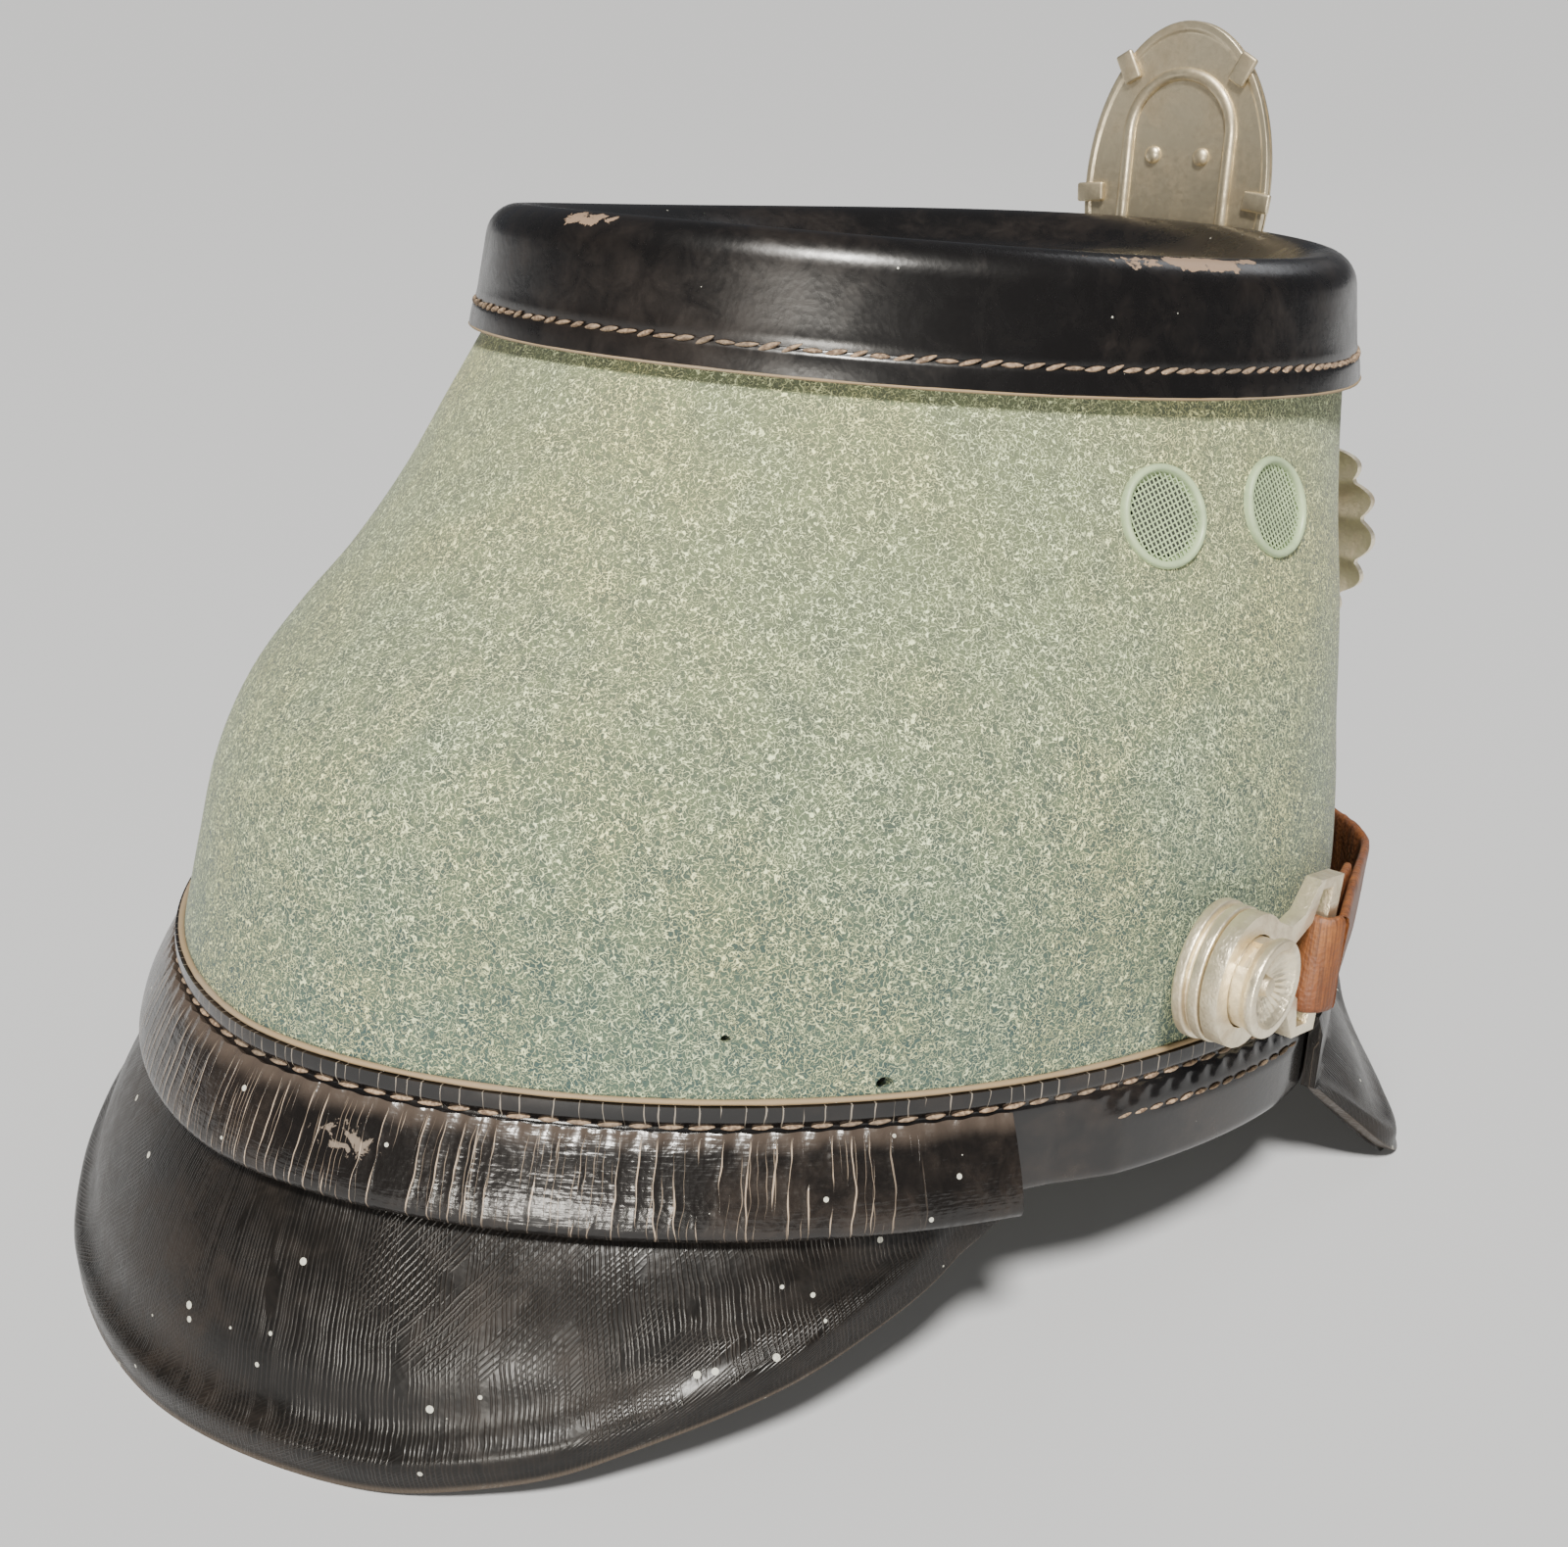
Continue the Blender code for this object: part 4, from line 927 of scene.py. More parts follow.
def crown_profile():
    """Height, growth and the height whose oval is used, from the lower edge to the top's middle."""
    line = []
    for k in range(LIP_STEPS + 1):
        share = k / LIP_STEPS
        line.append((FELT_HEIGHT + 0.1 * MM + LIP_HEIGHT * share, crown_grow + LIP * (1 - 0.4 * share**4)))
    line.append((FELT_HEIGHT + LIP_HEIGHT + 0.35 * MM, crown_grow - 0.12 * MM))
    line.append((FELT_HEIGHT + LIP_HEIGHT + 0.7 * MM, crown_grow - 0.10 * MM))
    line.append((FELT_HEIGHT + LIP_HEIGHT + 1.3 * MM, crown_grow + 0.10 * MM))
    wall_start, wall_end = FELT_HEIGHT + LIP_HEIGHT + 2.2 * MM, rim_height - RIM_ROUNDING
    for k in range(WALL_STEPS + 1):
        line.append((mix(wall_start, wall_end, k / WALL_STEPS), crown_grow))
    for k in range(1, BEND_STEPS + 1):
        bend = math.radians(90 * k / BEND_STEPS)
        line.append((wall_end + RIM_ROUNDING * math.sin(bend),
                     crown_grow - RIM_ROUNDING * (1 - math.cos(bend))))
    inside = crown_grow - RIM_ROUNDING
    for k in range(1, DISH_STEPS + 1):
        share = k / DISH_STEPS
        line.append((rim_height - DISH_DEPTH * (0.5 - 0.5 * math.cos(math.pi * share)),
                     inside - DISH_SLOPE * share))
    return line


profile = crown_profile()
print("points from the crown's lower edge to its dish:", len(profile))

# %% [markdown]
# The profile is carried round the block, and rings of points that close on the middle fill the dish. A
# filled face would be quicker, but it would be flat and couldn't take the slow waves.

# %% Lay the crown
SIDE_WAVE, SIDE_WAVES_PER_METRE = 0.12 * MM, 60
DISH_WAVE, DISH_WAVES_PER_METRE = 0.5 * MM, 25
rows = []
inner_rings = 10
for i in range(AROUND):
    turn = 360 * i / AROUND
    row = []
    for z, grow in profile:
        at = min(z, rim_height) if grow >= crown_grow - RIM_ROUNDING else rim_height
        point = on_body(turn, at, grow)
        point.z += z - at
        point += outward(turn, at) * SIDE_WAVE * wave_noise.noise(point * SIDE_WAVES_PER_METRE)
        row.append(point)
    rows.append(row)
top_middle = sum((row[-1] for row in rows), Vector()) / len(rows)
for row in rows:
    edge = row[-1].copy()
    for k in range(1, inner_rings + 1):
        point = edge.lerp(top_middle, k / inner_rings)
        wave = DISH_WAVE * wave_noise.noise(point * DISH_WAVES_PER_METRE)
        point.z += wave * math.sin(math.pi * k / inner_rings)
        row.append(point)
rows = [[STAND @ point for point in row] for row in rows]
crown = turned_out(laid("crown", rows, around=True))
finish_with(crown, "SOLIDIFY", thickness=CROWN_WALL - 0.1 * MM, offset=-1)
ready(crown, crown_look, ["crown_cap"], sharp=60)
roll_round("crown_edge", FELT_HEIGHT + 0.15 * MM, crown_grow + 0.35 * MM, 0.30 * MM, edge_look)

# %% [markdown]
# ## Thread
#
# Waxed linen thread shows as one plump stitch after the other. One stitch is modelled: a ball drawn out
# and pinched at its ends. Copies follow the seams, each turned and sized a little differently, as a hand
# leaves them.

# %% One stitch, and how it is sewn along a path
def new_stitch(length, width, height):
    pick()
    bpy.ops.mesh.primitive_uv_sphere_add(segments=8, ring_count=8, radius=1, location=(0, 0, 0),
                                         rotation=(0, math.radians(90), 0))
    stitch = bpy.context.object
    bpy.ops.object.transform_apply(location=False, rotation=True, scale=False)
    for vertex in stitch.data.vertices:
        pinch = 1 - 0.35 * vertex.co.x**2
        vertex.co = Vector((vertex.co.x * length / 2, vertex.co.y * width / 2 * pinch,
                            vertex.co.z * height / 2 * pinch))
    return stitch


def sewn(name, one, path, spacing, slant, spread=6.0):
    """Copies one stitch along a path of places and outward directions."""
    chance = random.Random(len(path))
    copies, travelled, due = [], 0.0, spacing / 2
    for (here, out), (after, _) in zip(path, path[1:]):
        step = (after - here).length
        while due <= travelled + step:
            place = here.lerp(after, (due - travelled) / step)
            along = (after - here).normalized()
            across = out.cross(along).normalized()
            swing = math.radians(slant + chance.uniform(-spread, spread))
            size = chance.uniform(0.86, 1.12)
            matrix = (aimed(along, across, along.cross(across), place) @ Matrix.Rotation(swing, 4, "Z")
                      @ Matrix.Diagonal((size, chance.uniform(0.85, 1.15), 1, 1)))
            copies.append(copied(one, "copy", matrix))
            due += spacing
        travelled += step
    bpy.data.objects.remove(one, do_unlink=True)
    print(name, "stitches:", len(copies))
    return joined(name, copies)


def seam_path(z, grow, start, end, steps):
    """Places and outward directions along a seam, standing on the table."""
    turn_only = STAND.to_3x3()
    path = []
    for k in range(steps + 1):
        turn = mix(start, end, k / steps)
        lift = grow(turn) if callable(grow) else grow
        path.append((standing(turn, z, lift), (turn_only @ outward(turn, z)).normalized()))
    return path


crown_seam = sewn("crown_stitches", new_stitch(3.3 * MM, 0.80 * MM, 0.9 * MM),
                  seam_path(FELT_HEIGHT + LIP_HEIGHT + 0.35 * MM, crown_grow + 0.16 * MM, 0, 360, 400),
                  3.1 * MM, 14, 13)
ready(crown_seam, thread_look, sharp=180)

# %% [markdown]
# ## The leather round the foot
#
# A narrow strip is sewn over the felt's edge. At the sides, where no peak hangs from it, it widens to a
# glossy skirt with a second row of stitches. How far the leather stands out is one rule, because the
# strip, the peaks below it and the stitches on it all have to meet there.

# %% Where the foot's leather stands
BASE_STRIP, SKIRT_STITCH, SKIRT_BULGE = 3.0 * MM, 7.2 * MM, 1.5 * MM
BAND_WALL = 1.0 * MM
SKIRT_END_REAR, SKIRT_END_FRONT = 25.0, -15.0
SEAM_SPACING = 4.0 * MM


def side_turn(turn):
    """Folds a turn onto the wearer's right side, from -90 to 90."""
    turn = (turn + 180) % 360 - 180
    return math.copysign(180, turn) - turn if abs(turn) > 90 else turn


def skirt_share(turn):
    turn = side_turn(turn)
    rear = min(max((SKIRT_END_REAR - turn) / 5.0, 0), 1)
    front = min(max((turn - SKIRT_END_FRONT) / 7.5, 0), 1)
    return rear * front


def foot_outside(turn, z):
    """How far the foot's leather stands out from the felt."""
    flat = GAP + BAND_WALL
    share = min(max((-z - BASE_STRIP) / (SKIRT_STITCH - BASE_STRIP), 0), 1)
    return flat + SKIRT_BULGE * skirt_share(turn) * share


def arc_places(start, end, steps, z=0.0):
    """Turns from start to end, and how far along the hat's side each lies."""
    turns = [mix(start, end, k / steps) for k in range(steps + 1)]
    lengths = [0.0]
    for a, b in zip(turns, turns[1:]):
        lengths.append(lengths[-1] + (on_body(b, z) - on_body(a, z)).length)
    return turns, lengths


print("the foot's leather stands out", round(foot_outside(0, -SKIRT_STITCH) * 1000, 2), "mm at its skirts")

# %% [markdown]
# Each stitch pulls the leather in and leaves a small swell between it and the next, and these swells
# catch the light. They are laid into the sheet, because a bump can't change the outline of a gloss.

# %% Lay the strip and the skirts
STRIP_BULGE, SWELL_HEIGHT, SWELL_BELOW, SWELL_WIDTH = 0.12 * MM, 0.26 * MM, 1.5 * MM, 0.9 * MM
GROOVE_DEPTH, GROOVE_WIDTH, ROW_DEPTH, ROW_WIDTH = 0.42 * MM, 0.55 * MM, 0.35 * MM, 0.6 * MM
EDGE_HEIGHT, EDGE_TURN_IN = 1.0 * MM, 0.35 * MM


def strip_grow(turn, z, length):
    """How far the strip stands out, with the groove and the swells that the stitches make."""
    grow = foot_outside(turn, z)
    grow += STRIP_BULGE * math.sin(math.pi * min(-z / BASE_STRIP, 1)) if z > -BASE_STRIP else 0
    groove = math.exp(-((z + BASE_STRIP) / GROOVE_WIDTH)**2)
    grow -= GROOVE_DEPTH * groove
    skirt = skirt_share(turn)
    swell = math.exp(-((z + BASE_STRIP + SWELL_BELOW) / SWELL_WIDTH)**2)
    grow += SWELL_HEIGHT * skirt * swell * math.cos(2 * math.pi * length / SEAM_SPACING)
    inner = min(max((20 - side_turn(turn)) / 4, 0), 1) * min(max((side_turn(turn) + 5) / 4, 0), 1)
    grow -= ROW_DEPTH * inner * math.exp(-((z + SKIRT_STITCH) / ROW_WIDTH)**2)
    edge = min(max((-z - BASE_DEPTH + EDGE_HEIGHT) / EDGE_HEIGHT, 0), 1)
    return grow - EDGE_TURN_IN * edge**2


STRIP_STEPS, FINE_ROWS, FINE_STEP, WIDE_ROWS = 760, 32, 0.35 * MM, 9
turns, lengths = arc_places(0, 360, STRIP_STEPS)
heights = [-FINE_STEP * k for k in range(FINE_ROWS)]
heights += [-mix(FINE_STEP * (FINE_ROWS - 1), BASE_DEPTH, (k + 1) / WIDE_ROWS) for k in range(WIDE_ROWS)]
rows = []
for turn, length in zip(turns[:-1], lengths):
    rows.append([standing(turn, z, strip_grow(turn, z, length)) for z in heights])
foot_strip = turned_out(laid("foot_strip", rows, around=True, size=(lengths[-1], BASE_DEPTH)))
fall_map = foot_strip.data.uv_layers[0].data
for corner in fall_map:
    place = corner.uv.y / BASE_DEPTH * (len(heights) - 1)
    low = min(int(place + 0.001), len(heights) - 2)
    corner.uv = (corner.uv.x, -mix(heights[low], heights[low + 1], place - low))
finish_with(foot_strip, "SOLIDIFY", thickness=0.9 * MM, offset=-1)
ready(foot_strip, strip_look, ["base_band"], sharp=50)

# %% [markdown]
# The foot's seam runs all round in the groove, and each skirt has a shorter, slanted row. The stitches
# are the ones of the crown's seam in smaller sizes.

# %% Sew the strip and the skirts
foot_seam = sewn("foot_stitches", new_stitch(3.2 * MM, 0.68 * MM, 0.9 * MM),
                 seam_path(-BASE_STRIP, GAP + BAND_WALL - 0.28 * MM, 0, 360, 600), SEAM_SPACING, 4, 3)
ready(foot_seam, thread_look, sharp=180)
skirt_seams = []
for start, end in ((20.5, -3.5), (183.5, 159.5)):
    skirt_seams.append(sewn("skirt_seam", new_stitch(2.7 * MM, 0.55 * MM, 0.7 * MM),
                            seam_path(-SKIRT_STITCH, GAP + BAND_WALL + SKIRT_BULGE - 0.22 * MM, start, end,
                                      60), 3.1 * MM, 8))
ready(joined("skirt_stitches", skirt_seams), thread_look, sharp=180)

# %% [markdown]
# ## The rear band
#
# A wide band is folded over the joint of the rear peak. It is widest at its foot, and its upper edge is
# drawn into little pleats by the seam above it. The pleats are laid into the sheet itself, because they
# change the outline of the highlight.

# %% Lay the rear band
REAR_BAND_DEPTH, REAR_BAND_BULGE, PEAK_WALL = 16.5 * MM, 7.6 * MM, 2.2 * MM
BAND_ROLL = [(0.00, 0.05), (0.19, 0.33), (0.42, 0.60), (0.69, 0.87), (0.92, 1.00), (1.00, 0.93)]
band_top = BASE_STRIP + 0.35 * MM
band_seat = 2 * GAP + BAND_WALL
BAND_START, BAND_END, BAND_STEPS, BAND_ROWS = 29, 151, 460, 36
PLEAT_HEIGHT, PLEAT_SHARE, BAND_WAVE, BAND_WAVES_PER_METRE = 0.20 * MM, 0.11, 0.22 * MM, 70
turns, lengths = arc_places(BAND_START, BAND_END, BAND_STEPS)
rows = []
for turn, length in zip(turns, lengths):
    row = []
    for k in range(BAND_ROWS + 1):
        share = k / BAND_ROWS
        z = -mix(band_top, REAR_BAND_DEPTH, share)
        grow = mix(band_seat, REAR_BAND_BULGE, read_smoothly(BAND_ROLL, 1, share))
        pleat = math.exp(-(share / PLEAT_SHARE)**2)
        grow += PLEAT_HEIGHT * pleat * math.cos(2 * math.pi * length / SEAM_SPACING
                                                + 0.8 * math.sin(length * 90))
        place = on_body(turn, z, grow)
        wave = BAND_WAVE * wave_noise.noise(place * BAND_WAVES_PER_METRE) * math.sin(math.pi * share)
        row.append(STAND @ (place + outward(turn, z) * wave))
    rows.append(row)
rear_band = turned_out(laid("rear_cover", rows, size=(lengths[-1], REAR_BAND_DEPTH - band_top)))
finish_with(rear_band, "SOLIDIFY", thickness=1.3 * MM, offset=-1)
finish_with(rear_band, "BEVEL", width=0.45 * MM, segments=3, limit_method="ANGLE",
            angle_limit=math.radians(60))
ready(rear_band, band_look, ["rear_band"], sharp=50)

# %% [markdown]
# ## The peaks
#
# Each peak is a thick pressed sheet: a collar under the foot's leather, then a flare that swings out
# and down to a rim on the table. Its section changes along the rim, so two short tables say how far it
# reaches and how high its rim lies, from the corner to the middle.

# %% The rims of the peaks
PEAK_COLLAR = 6.0 * MM
PEAK_BULGE = 0.12
REAR_RIM = [(0.00, 0.13, 0.93), (0.05, 0.19, 0.76), (0.10, 0.28, 0.62), (0.17, 0.40, 0.49),
            (0.25, 0.57, 0.39), (0.33, 0.70, 0.31), (0.42, 0.82, 0.22), (0.50, 0.91, 0.13),
            (0.58, 0.96, 0.07), (0.67, 1.00, 0.02), (0.76, 1.00, 0.00), (1.00, 1.00, 0.00)]
FRONT_RIM = [(0.00, 0.16, 0.95), (0.045, 0.30, 0.60), (0.09, 0.46, 0.20), (0.12, 0.51, 0.03),
             (0.15, 0.50, 0.00), (0.21, 0.43, 0.00), (0.32, 0.35, 0.00), (0.41, 0.38, 0.00),
             (0.52, 0.55, 0.00), (0.64, 0.71, 0.00), (0.82, 0.92, 0.00), (1.00, 1.00, 0.00)]
print("steps along the rims:", len(REAR_RIM), "and", len(FRONT_RIM))

# %% [markdown]
# A section starts under the foot's leather, bends out to the rim and comes back a wall's thickness
# below. Just inside the rim the leather is rolled: a low swell with a hollow behind it. The section is
# kept within the rim's reach, so that the roll doesn't make the peak longer.

# %% One section through a peak
FLARE_STEPS = 28
ROLL_HEIGHT, ROLL_PLACE, ROLL_WIDTH, ROLL_START = 1.2 * MM, 3.8 * MM, 2.2 * MM, 2.4 * MM
HOLLOW_DEPTH, HOLLOW_PLACE, HOLLOW_WIDTH = 0.45 * MM, 9.5 * MM, 3.0 * MM
FULL_FLARE = 24 * MM


def peak_section(turn, along, rim_table, reach, front):
    """One closed section through a peak, as it stands on the table."""
    levels = [-(BASE_DEPTH - PEAK_COLLAR), -BASE_DEPTH]
    if front:
        levels = [-BASE_STRIP * 1.5, -SKIRT_STITCH, -12 * MM, -BASE_DEPTH]
    away = outward(turn, 0)
    outer = [STAND @ on_body(turn, z, foot_outside(turn, z) + GAP + PEAK_WALL) for z in levels]
    foot, neck = STAND @ on_body(turn, 0), outer[-1].copy()
    rim = foot + away * reach * read_smoothly(rim_table, 1, along)
    rim.z = max(neck.z * max(read_smoothly(rim_table, 2, along), 0), 0)
    if rim.z < 0.02 * MM:
        rim.z = 0.0
    least = (neck - foot).dot(away)
    if (rim - foot).dot(away) < least:
        rim += away * (least - (rim - foot).dot(away))
    flare = rim - neck
    bend = neck + flare / 2 + (away * -flare.z + Vector((0, 0, away.dot(flare)))) * PEAK_BULGE
    lift = (away * -flare.z + Vector((0, 0, away.dot(flare)))).normalized()
    size = min(flare.length / FULL_FLARE, 1)
    for k in range(1, FLARE_STEPS + 1):
        share = 1 - (1 - k / FLARE_STEPS)**1.5
        point = neck.lerp(bend, share).lerp(bend.lerp(rim, share), share)
        from_rim = flare.length * (1 - share)
        roll = ROLL_HEIGHT * math.exp(-((from_rim - ROLL_PLACE) / ROLL_WIDTH)**2)
        roll *= eased(from_rim / ROLL_START)
        hollow = HOLLOW_DEPTH * math.exp(-((from_rim - HOLLOW_PLACE) / HOLLOW_WIDTH)**2)
        point = point + lift * size * (roll - hollow)
        outer.append(point - away * max((point - rim).dot(away), 0))
    inner = []
    for k, point in enumerate(outer):
        before, after = outer[max(k - 1, 0)], outer[min(k + 1, len(outer) - 1)]
        slope = (after - before).normalized()
        if k in (0, len(outer) - 1):
            slope = Vector((0, 0, -1))
        under = point - (away - slope * away.dot(slope)).normalized() * PEAK_WALL
        under.z = max(under.z, 0.0)
        inner.append(under)
    return outer + inner[::-1]


print("points in a section of the rear peak:", len(peak_section(90, 1.0, REAR_RIM, 20 * MM, False)))

# %% [markdown]
# A peak is its sections side by side, from corner to corner, closed at both ends. Its edges then get a
# fine bevel, as a cut and burnished edge has.

# %% Lay the peaks
PEAK_STEPS = 180


def lay_peak(name, rim_table, start, reach, node_name):
    middle = math.copysign(90, start)
    rows = []
    for k in range(PEAK_STEPS + 1):
        turn = mix(start, math.copysign(180, start) - start, k / PEAK_STEPS)
        along = 1 - abs(turn - middle) / abs(middle - start)
        rows.append(peak_section(turn, along, rim_table, reach, start < 0))
    peak = laid(name, rows, loop=True, size=(0.25, 0.11))
    finish_with(peak, "BEVEL", width=0.6 * MM, segments=3, limit_method="ANGLE",
                angle_limit=math.radians(55))
    return ready(peak, peak_look, [node_name], sharp=50)


lay_peak("rear_flare", REAR_RIM, 30.0, 22.5 * MM, "rear_peak")
lay_peak("front_flare", FRONT_RIM, -7.5, 32 * MM, "front_peak")

# %% [markdown]
# ## The vents
#
# Two brass-framed air holes sit high on each side, painted in the hat's own green. They and the lugs are
# turned or drawn parts, so three helpers come first: a profile swept round an axis, the section of a
# swollen ring, and a round rod between two points.

# %% Turned shapes
def spun(name, profile, steps, matrix, stretch=(1.0, 1.0), ripple=None):
    """Sweeps (radius, height) pairs about an axis; a first or last radius of 0 closes the shape."""
    rows = []
    for i in range(steps):
        angle = 2 * math.pi * i / steps
        row = []
        for radius, height in profile:
            lift = ripple(angle, radius) if ripple else 0.0
            row.append(matrix @ Vector((radius * stretch[0] * math.cos(angle),
                                        radius * stretch[1] * math.sin(angle), height + lift)))
        rows.append(row)
    return laid(name, rows, around=True)


def soft_ring(inner, outer, low, high, steps=14):
    """The section of a swollen ring, as a closed list of (radius, height) pairs."""
    middle, half, tall = (inner + outer) / 2, (outer - inner) / 2, high - low
    line = []
    for k in range(steps + 1):
        angle = math.pi * k / steps
        line.append((middle + half * math.cos(angle), low + tall * math.sin(angle) ** 0.8))
    return [(outer, low - 0.6 * MM)] + line + [(inner, low - 0.6 * MM), (outer, low - 0.6 * MM)]


def rod(name, start, end, radius, sides=6):
    """A round rod between two points."""
    along = (end - start).normalized()
    across = along.orthogonal().normalized()
    other = along.cross(across)
    rows = []
    for share in (0.0, 1.0):
        here = start.lerp(end, share)
        rows.append([here + (across * math.cos(a) + other * math.sin(a)) * radius
                     for a in [2 * math.pi * k / sides for k in range(sides)]])
    return laid(name, rows, loop=True)


print("turned shapes:", spun.__name__, soft_ring.__name__, rod.__name__)

# %% [markdown]
# Each vent has a swollen rim with a ledge inside it, and fine wire gauze, woven on the slant, over a
# hole whose dark is a near-black disc of painted shade. The wires are short rods of the length that the
# round hole leaves them, so the weave is real in a close view too. One rim and one gauze are made and
# copied to the four places.

# %% Rims and gauze
ROLL_ROUND, RING_STEPS, WIRE_SLANT = 1.25 * MM, 56, 38
outer, ledge = VENT_WIDTH / 2 - 0.1 * MM, VENT_WIDTH / 2 - VENT_RIM
inner = outer - ROLL_ROUND
ledge_line = [(inner + 0.3 * MM, -0.7 * MM), (inner + 0.3 * MM, -0.34 * MM), (ledge, -0.34 * MM),
              (ledge, -0.7 * MM), (inner + 0.3 * MM, -0.7 * MM)]
roll = spun("roll", soft_ring(inner, outer, -0.1 * MM, 0.9 * MM), RING_STEPS, Matrix.Identity(4))
rim_model = joined("vent_rim", [roll, spun("ledge", ledge_line, RING_STEPS, Matrix.Identity(4))])
wire_reach, pitch, wire = inner + 0.05 * MM, 0.80 * MM, 0.14 * MM
wires = []
for direction in (0, 1):
    for k in range(-8, 9):
        offset = k * pitch
        if abs(offset) > wire_reach - 0.4 * MM:
            continue
        half = math.sqrt(wire_reach**2 - offset**2)
        height = (0.02 if direction else -0.14) * MM
        spin = Matrix.Rotation(math.radians(WIRE_SLANT + 90 * direction), 3, "Z")
        wires.append(rod("wire", spin @ Vector((-half, offset, height)),
                         spin @ Vector((half, offset, height)), wire))
gauze_model = joined("gauze", wires)
for side, mirrored in (("R", False), ("L", True)):
    for number, turn in enumerate(VENT_TURNS, 1):
        matrix = STAND @ frame_on_body(180 - turn if mirrored else turn, VENT_HEIGHT)
        ready(copied(rim_model, f"vent_ring_{side}{number}", matrix), green_look,
              [f"vent_rim_{side}{number}"], sharp=60)
        ready(copied(gauze_model, f"vent_wires_{side}{number}", matrix), green_look, sharp=60)
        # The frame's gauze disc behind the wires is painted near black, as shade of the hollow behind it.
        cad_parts[f"vent_gauze_{side}{number}"].material_slots[0].material = hole_shade_look
for model in (rim_model, gauze_model):
    bpy.data.objects.remove(model, do_unlink=True)

# %% [markdown]
# ## The lugs
#
# The strap hangs from a lug at each side: a stepped disc on the felt, a flat bracket that swings on it,
# and a turned post whose flared cap holds the bracket. The turned parts are profiles swept round the
# lug's axis. A profile's corners are rounded first, because cast metal has none that are sharp.

# %% The lug's axis and its profiles
LUG_WIDTH, LUG_WALL, LUG_TURN, LUG_HEIGHT = 20.4 * MM, 3.9 * MM, 14.5, 11.2 * MM
POST_WIDTH, POST_LENGTH, CAP_WIDTH, CAP_RIM = 13 * MM, 6.6 * MM, 14.3 * MM, 1.6 * MM
BRACKET_WALL, BRACKET_DROOP = 2.6 * MM, 7.0
BRACKET_REACH, BRACKET_BAR = 23.8 * MM, 3.0 * MM


def lug_frame(mirror):
    """A matrix at the lug's axis on the felt: Z points outwards, X to the front, Y up."""
    place = on_body(LUG_TURN, LUG_HEIGHT)
    widest = max(-on_body(turn, LUG_HEIGHT).x for turn in (0, LUG_TURN / 2, LUG_TURN))
    droop = Matrix.Rotation(math.radians(-BRACKET_DROOP), 4, "Z")
    made = aimed((0, -1, 0), (0, 0, 1), (-1, 0, 0), (-widest - GAP, place.y, LUG_HEIGHT)) @ droop
    return Matrix.Scale(-1, 4, (1, 0, 0)) @ made if mirror < 0 else made


def rounded_profile(corners, soft, steps=4):
    """Rounds the inner corners of a profile of (radius, height) pairs."""
    line = [corners[0]]
    for before, here, after in zip(corners, corners[1:], corners[2:]):
        here, a, b = Vector(here), Vector(before), Vector(after)
        reach = min(soft, (a - here).length * 0.45, (b - here).length * 0.45)
        a, b = here + (a - here).normalized() * reach, here + (b - here).normalized() * reach
        for k in range(steps + 1):
            share = k / steps
            line.append(tuple(a.lerp(here, share).lerp(here.lerp(b, share), share)))
    return line + [corners[-1]]


CAP_FLUTES = 26


def cap_flutes(angle, radius):
    """The low flutes of the cap's hollow face, between its boss and its rim."""
    share = (radius - 1.9 * MM) / (3.4 * MM)
    if share <= 0 or share >= 1:
        return 0.0
    return 0.16 * MM * math.sin(math.pi * share) * math.cos(CAP_FLUTES * angle)


bracket_low = LUG_WALL + GAP
cap_top = bracket_low + POST_LENGTH
print("lug:", round(cap_top * 1000, 1), "mm from the felt to its cap")

# %% [markdown]
# The disc has two steps. The post's hollow cap has fine flutes round a small boss, and a narrow slot is
# cut into the post's side. It is cut last, because a swept profile can't have a hole on one side only.

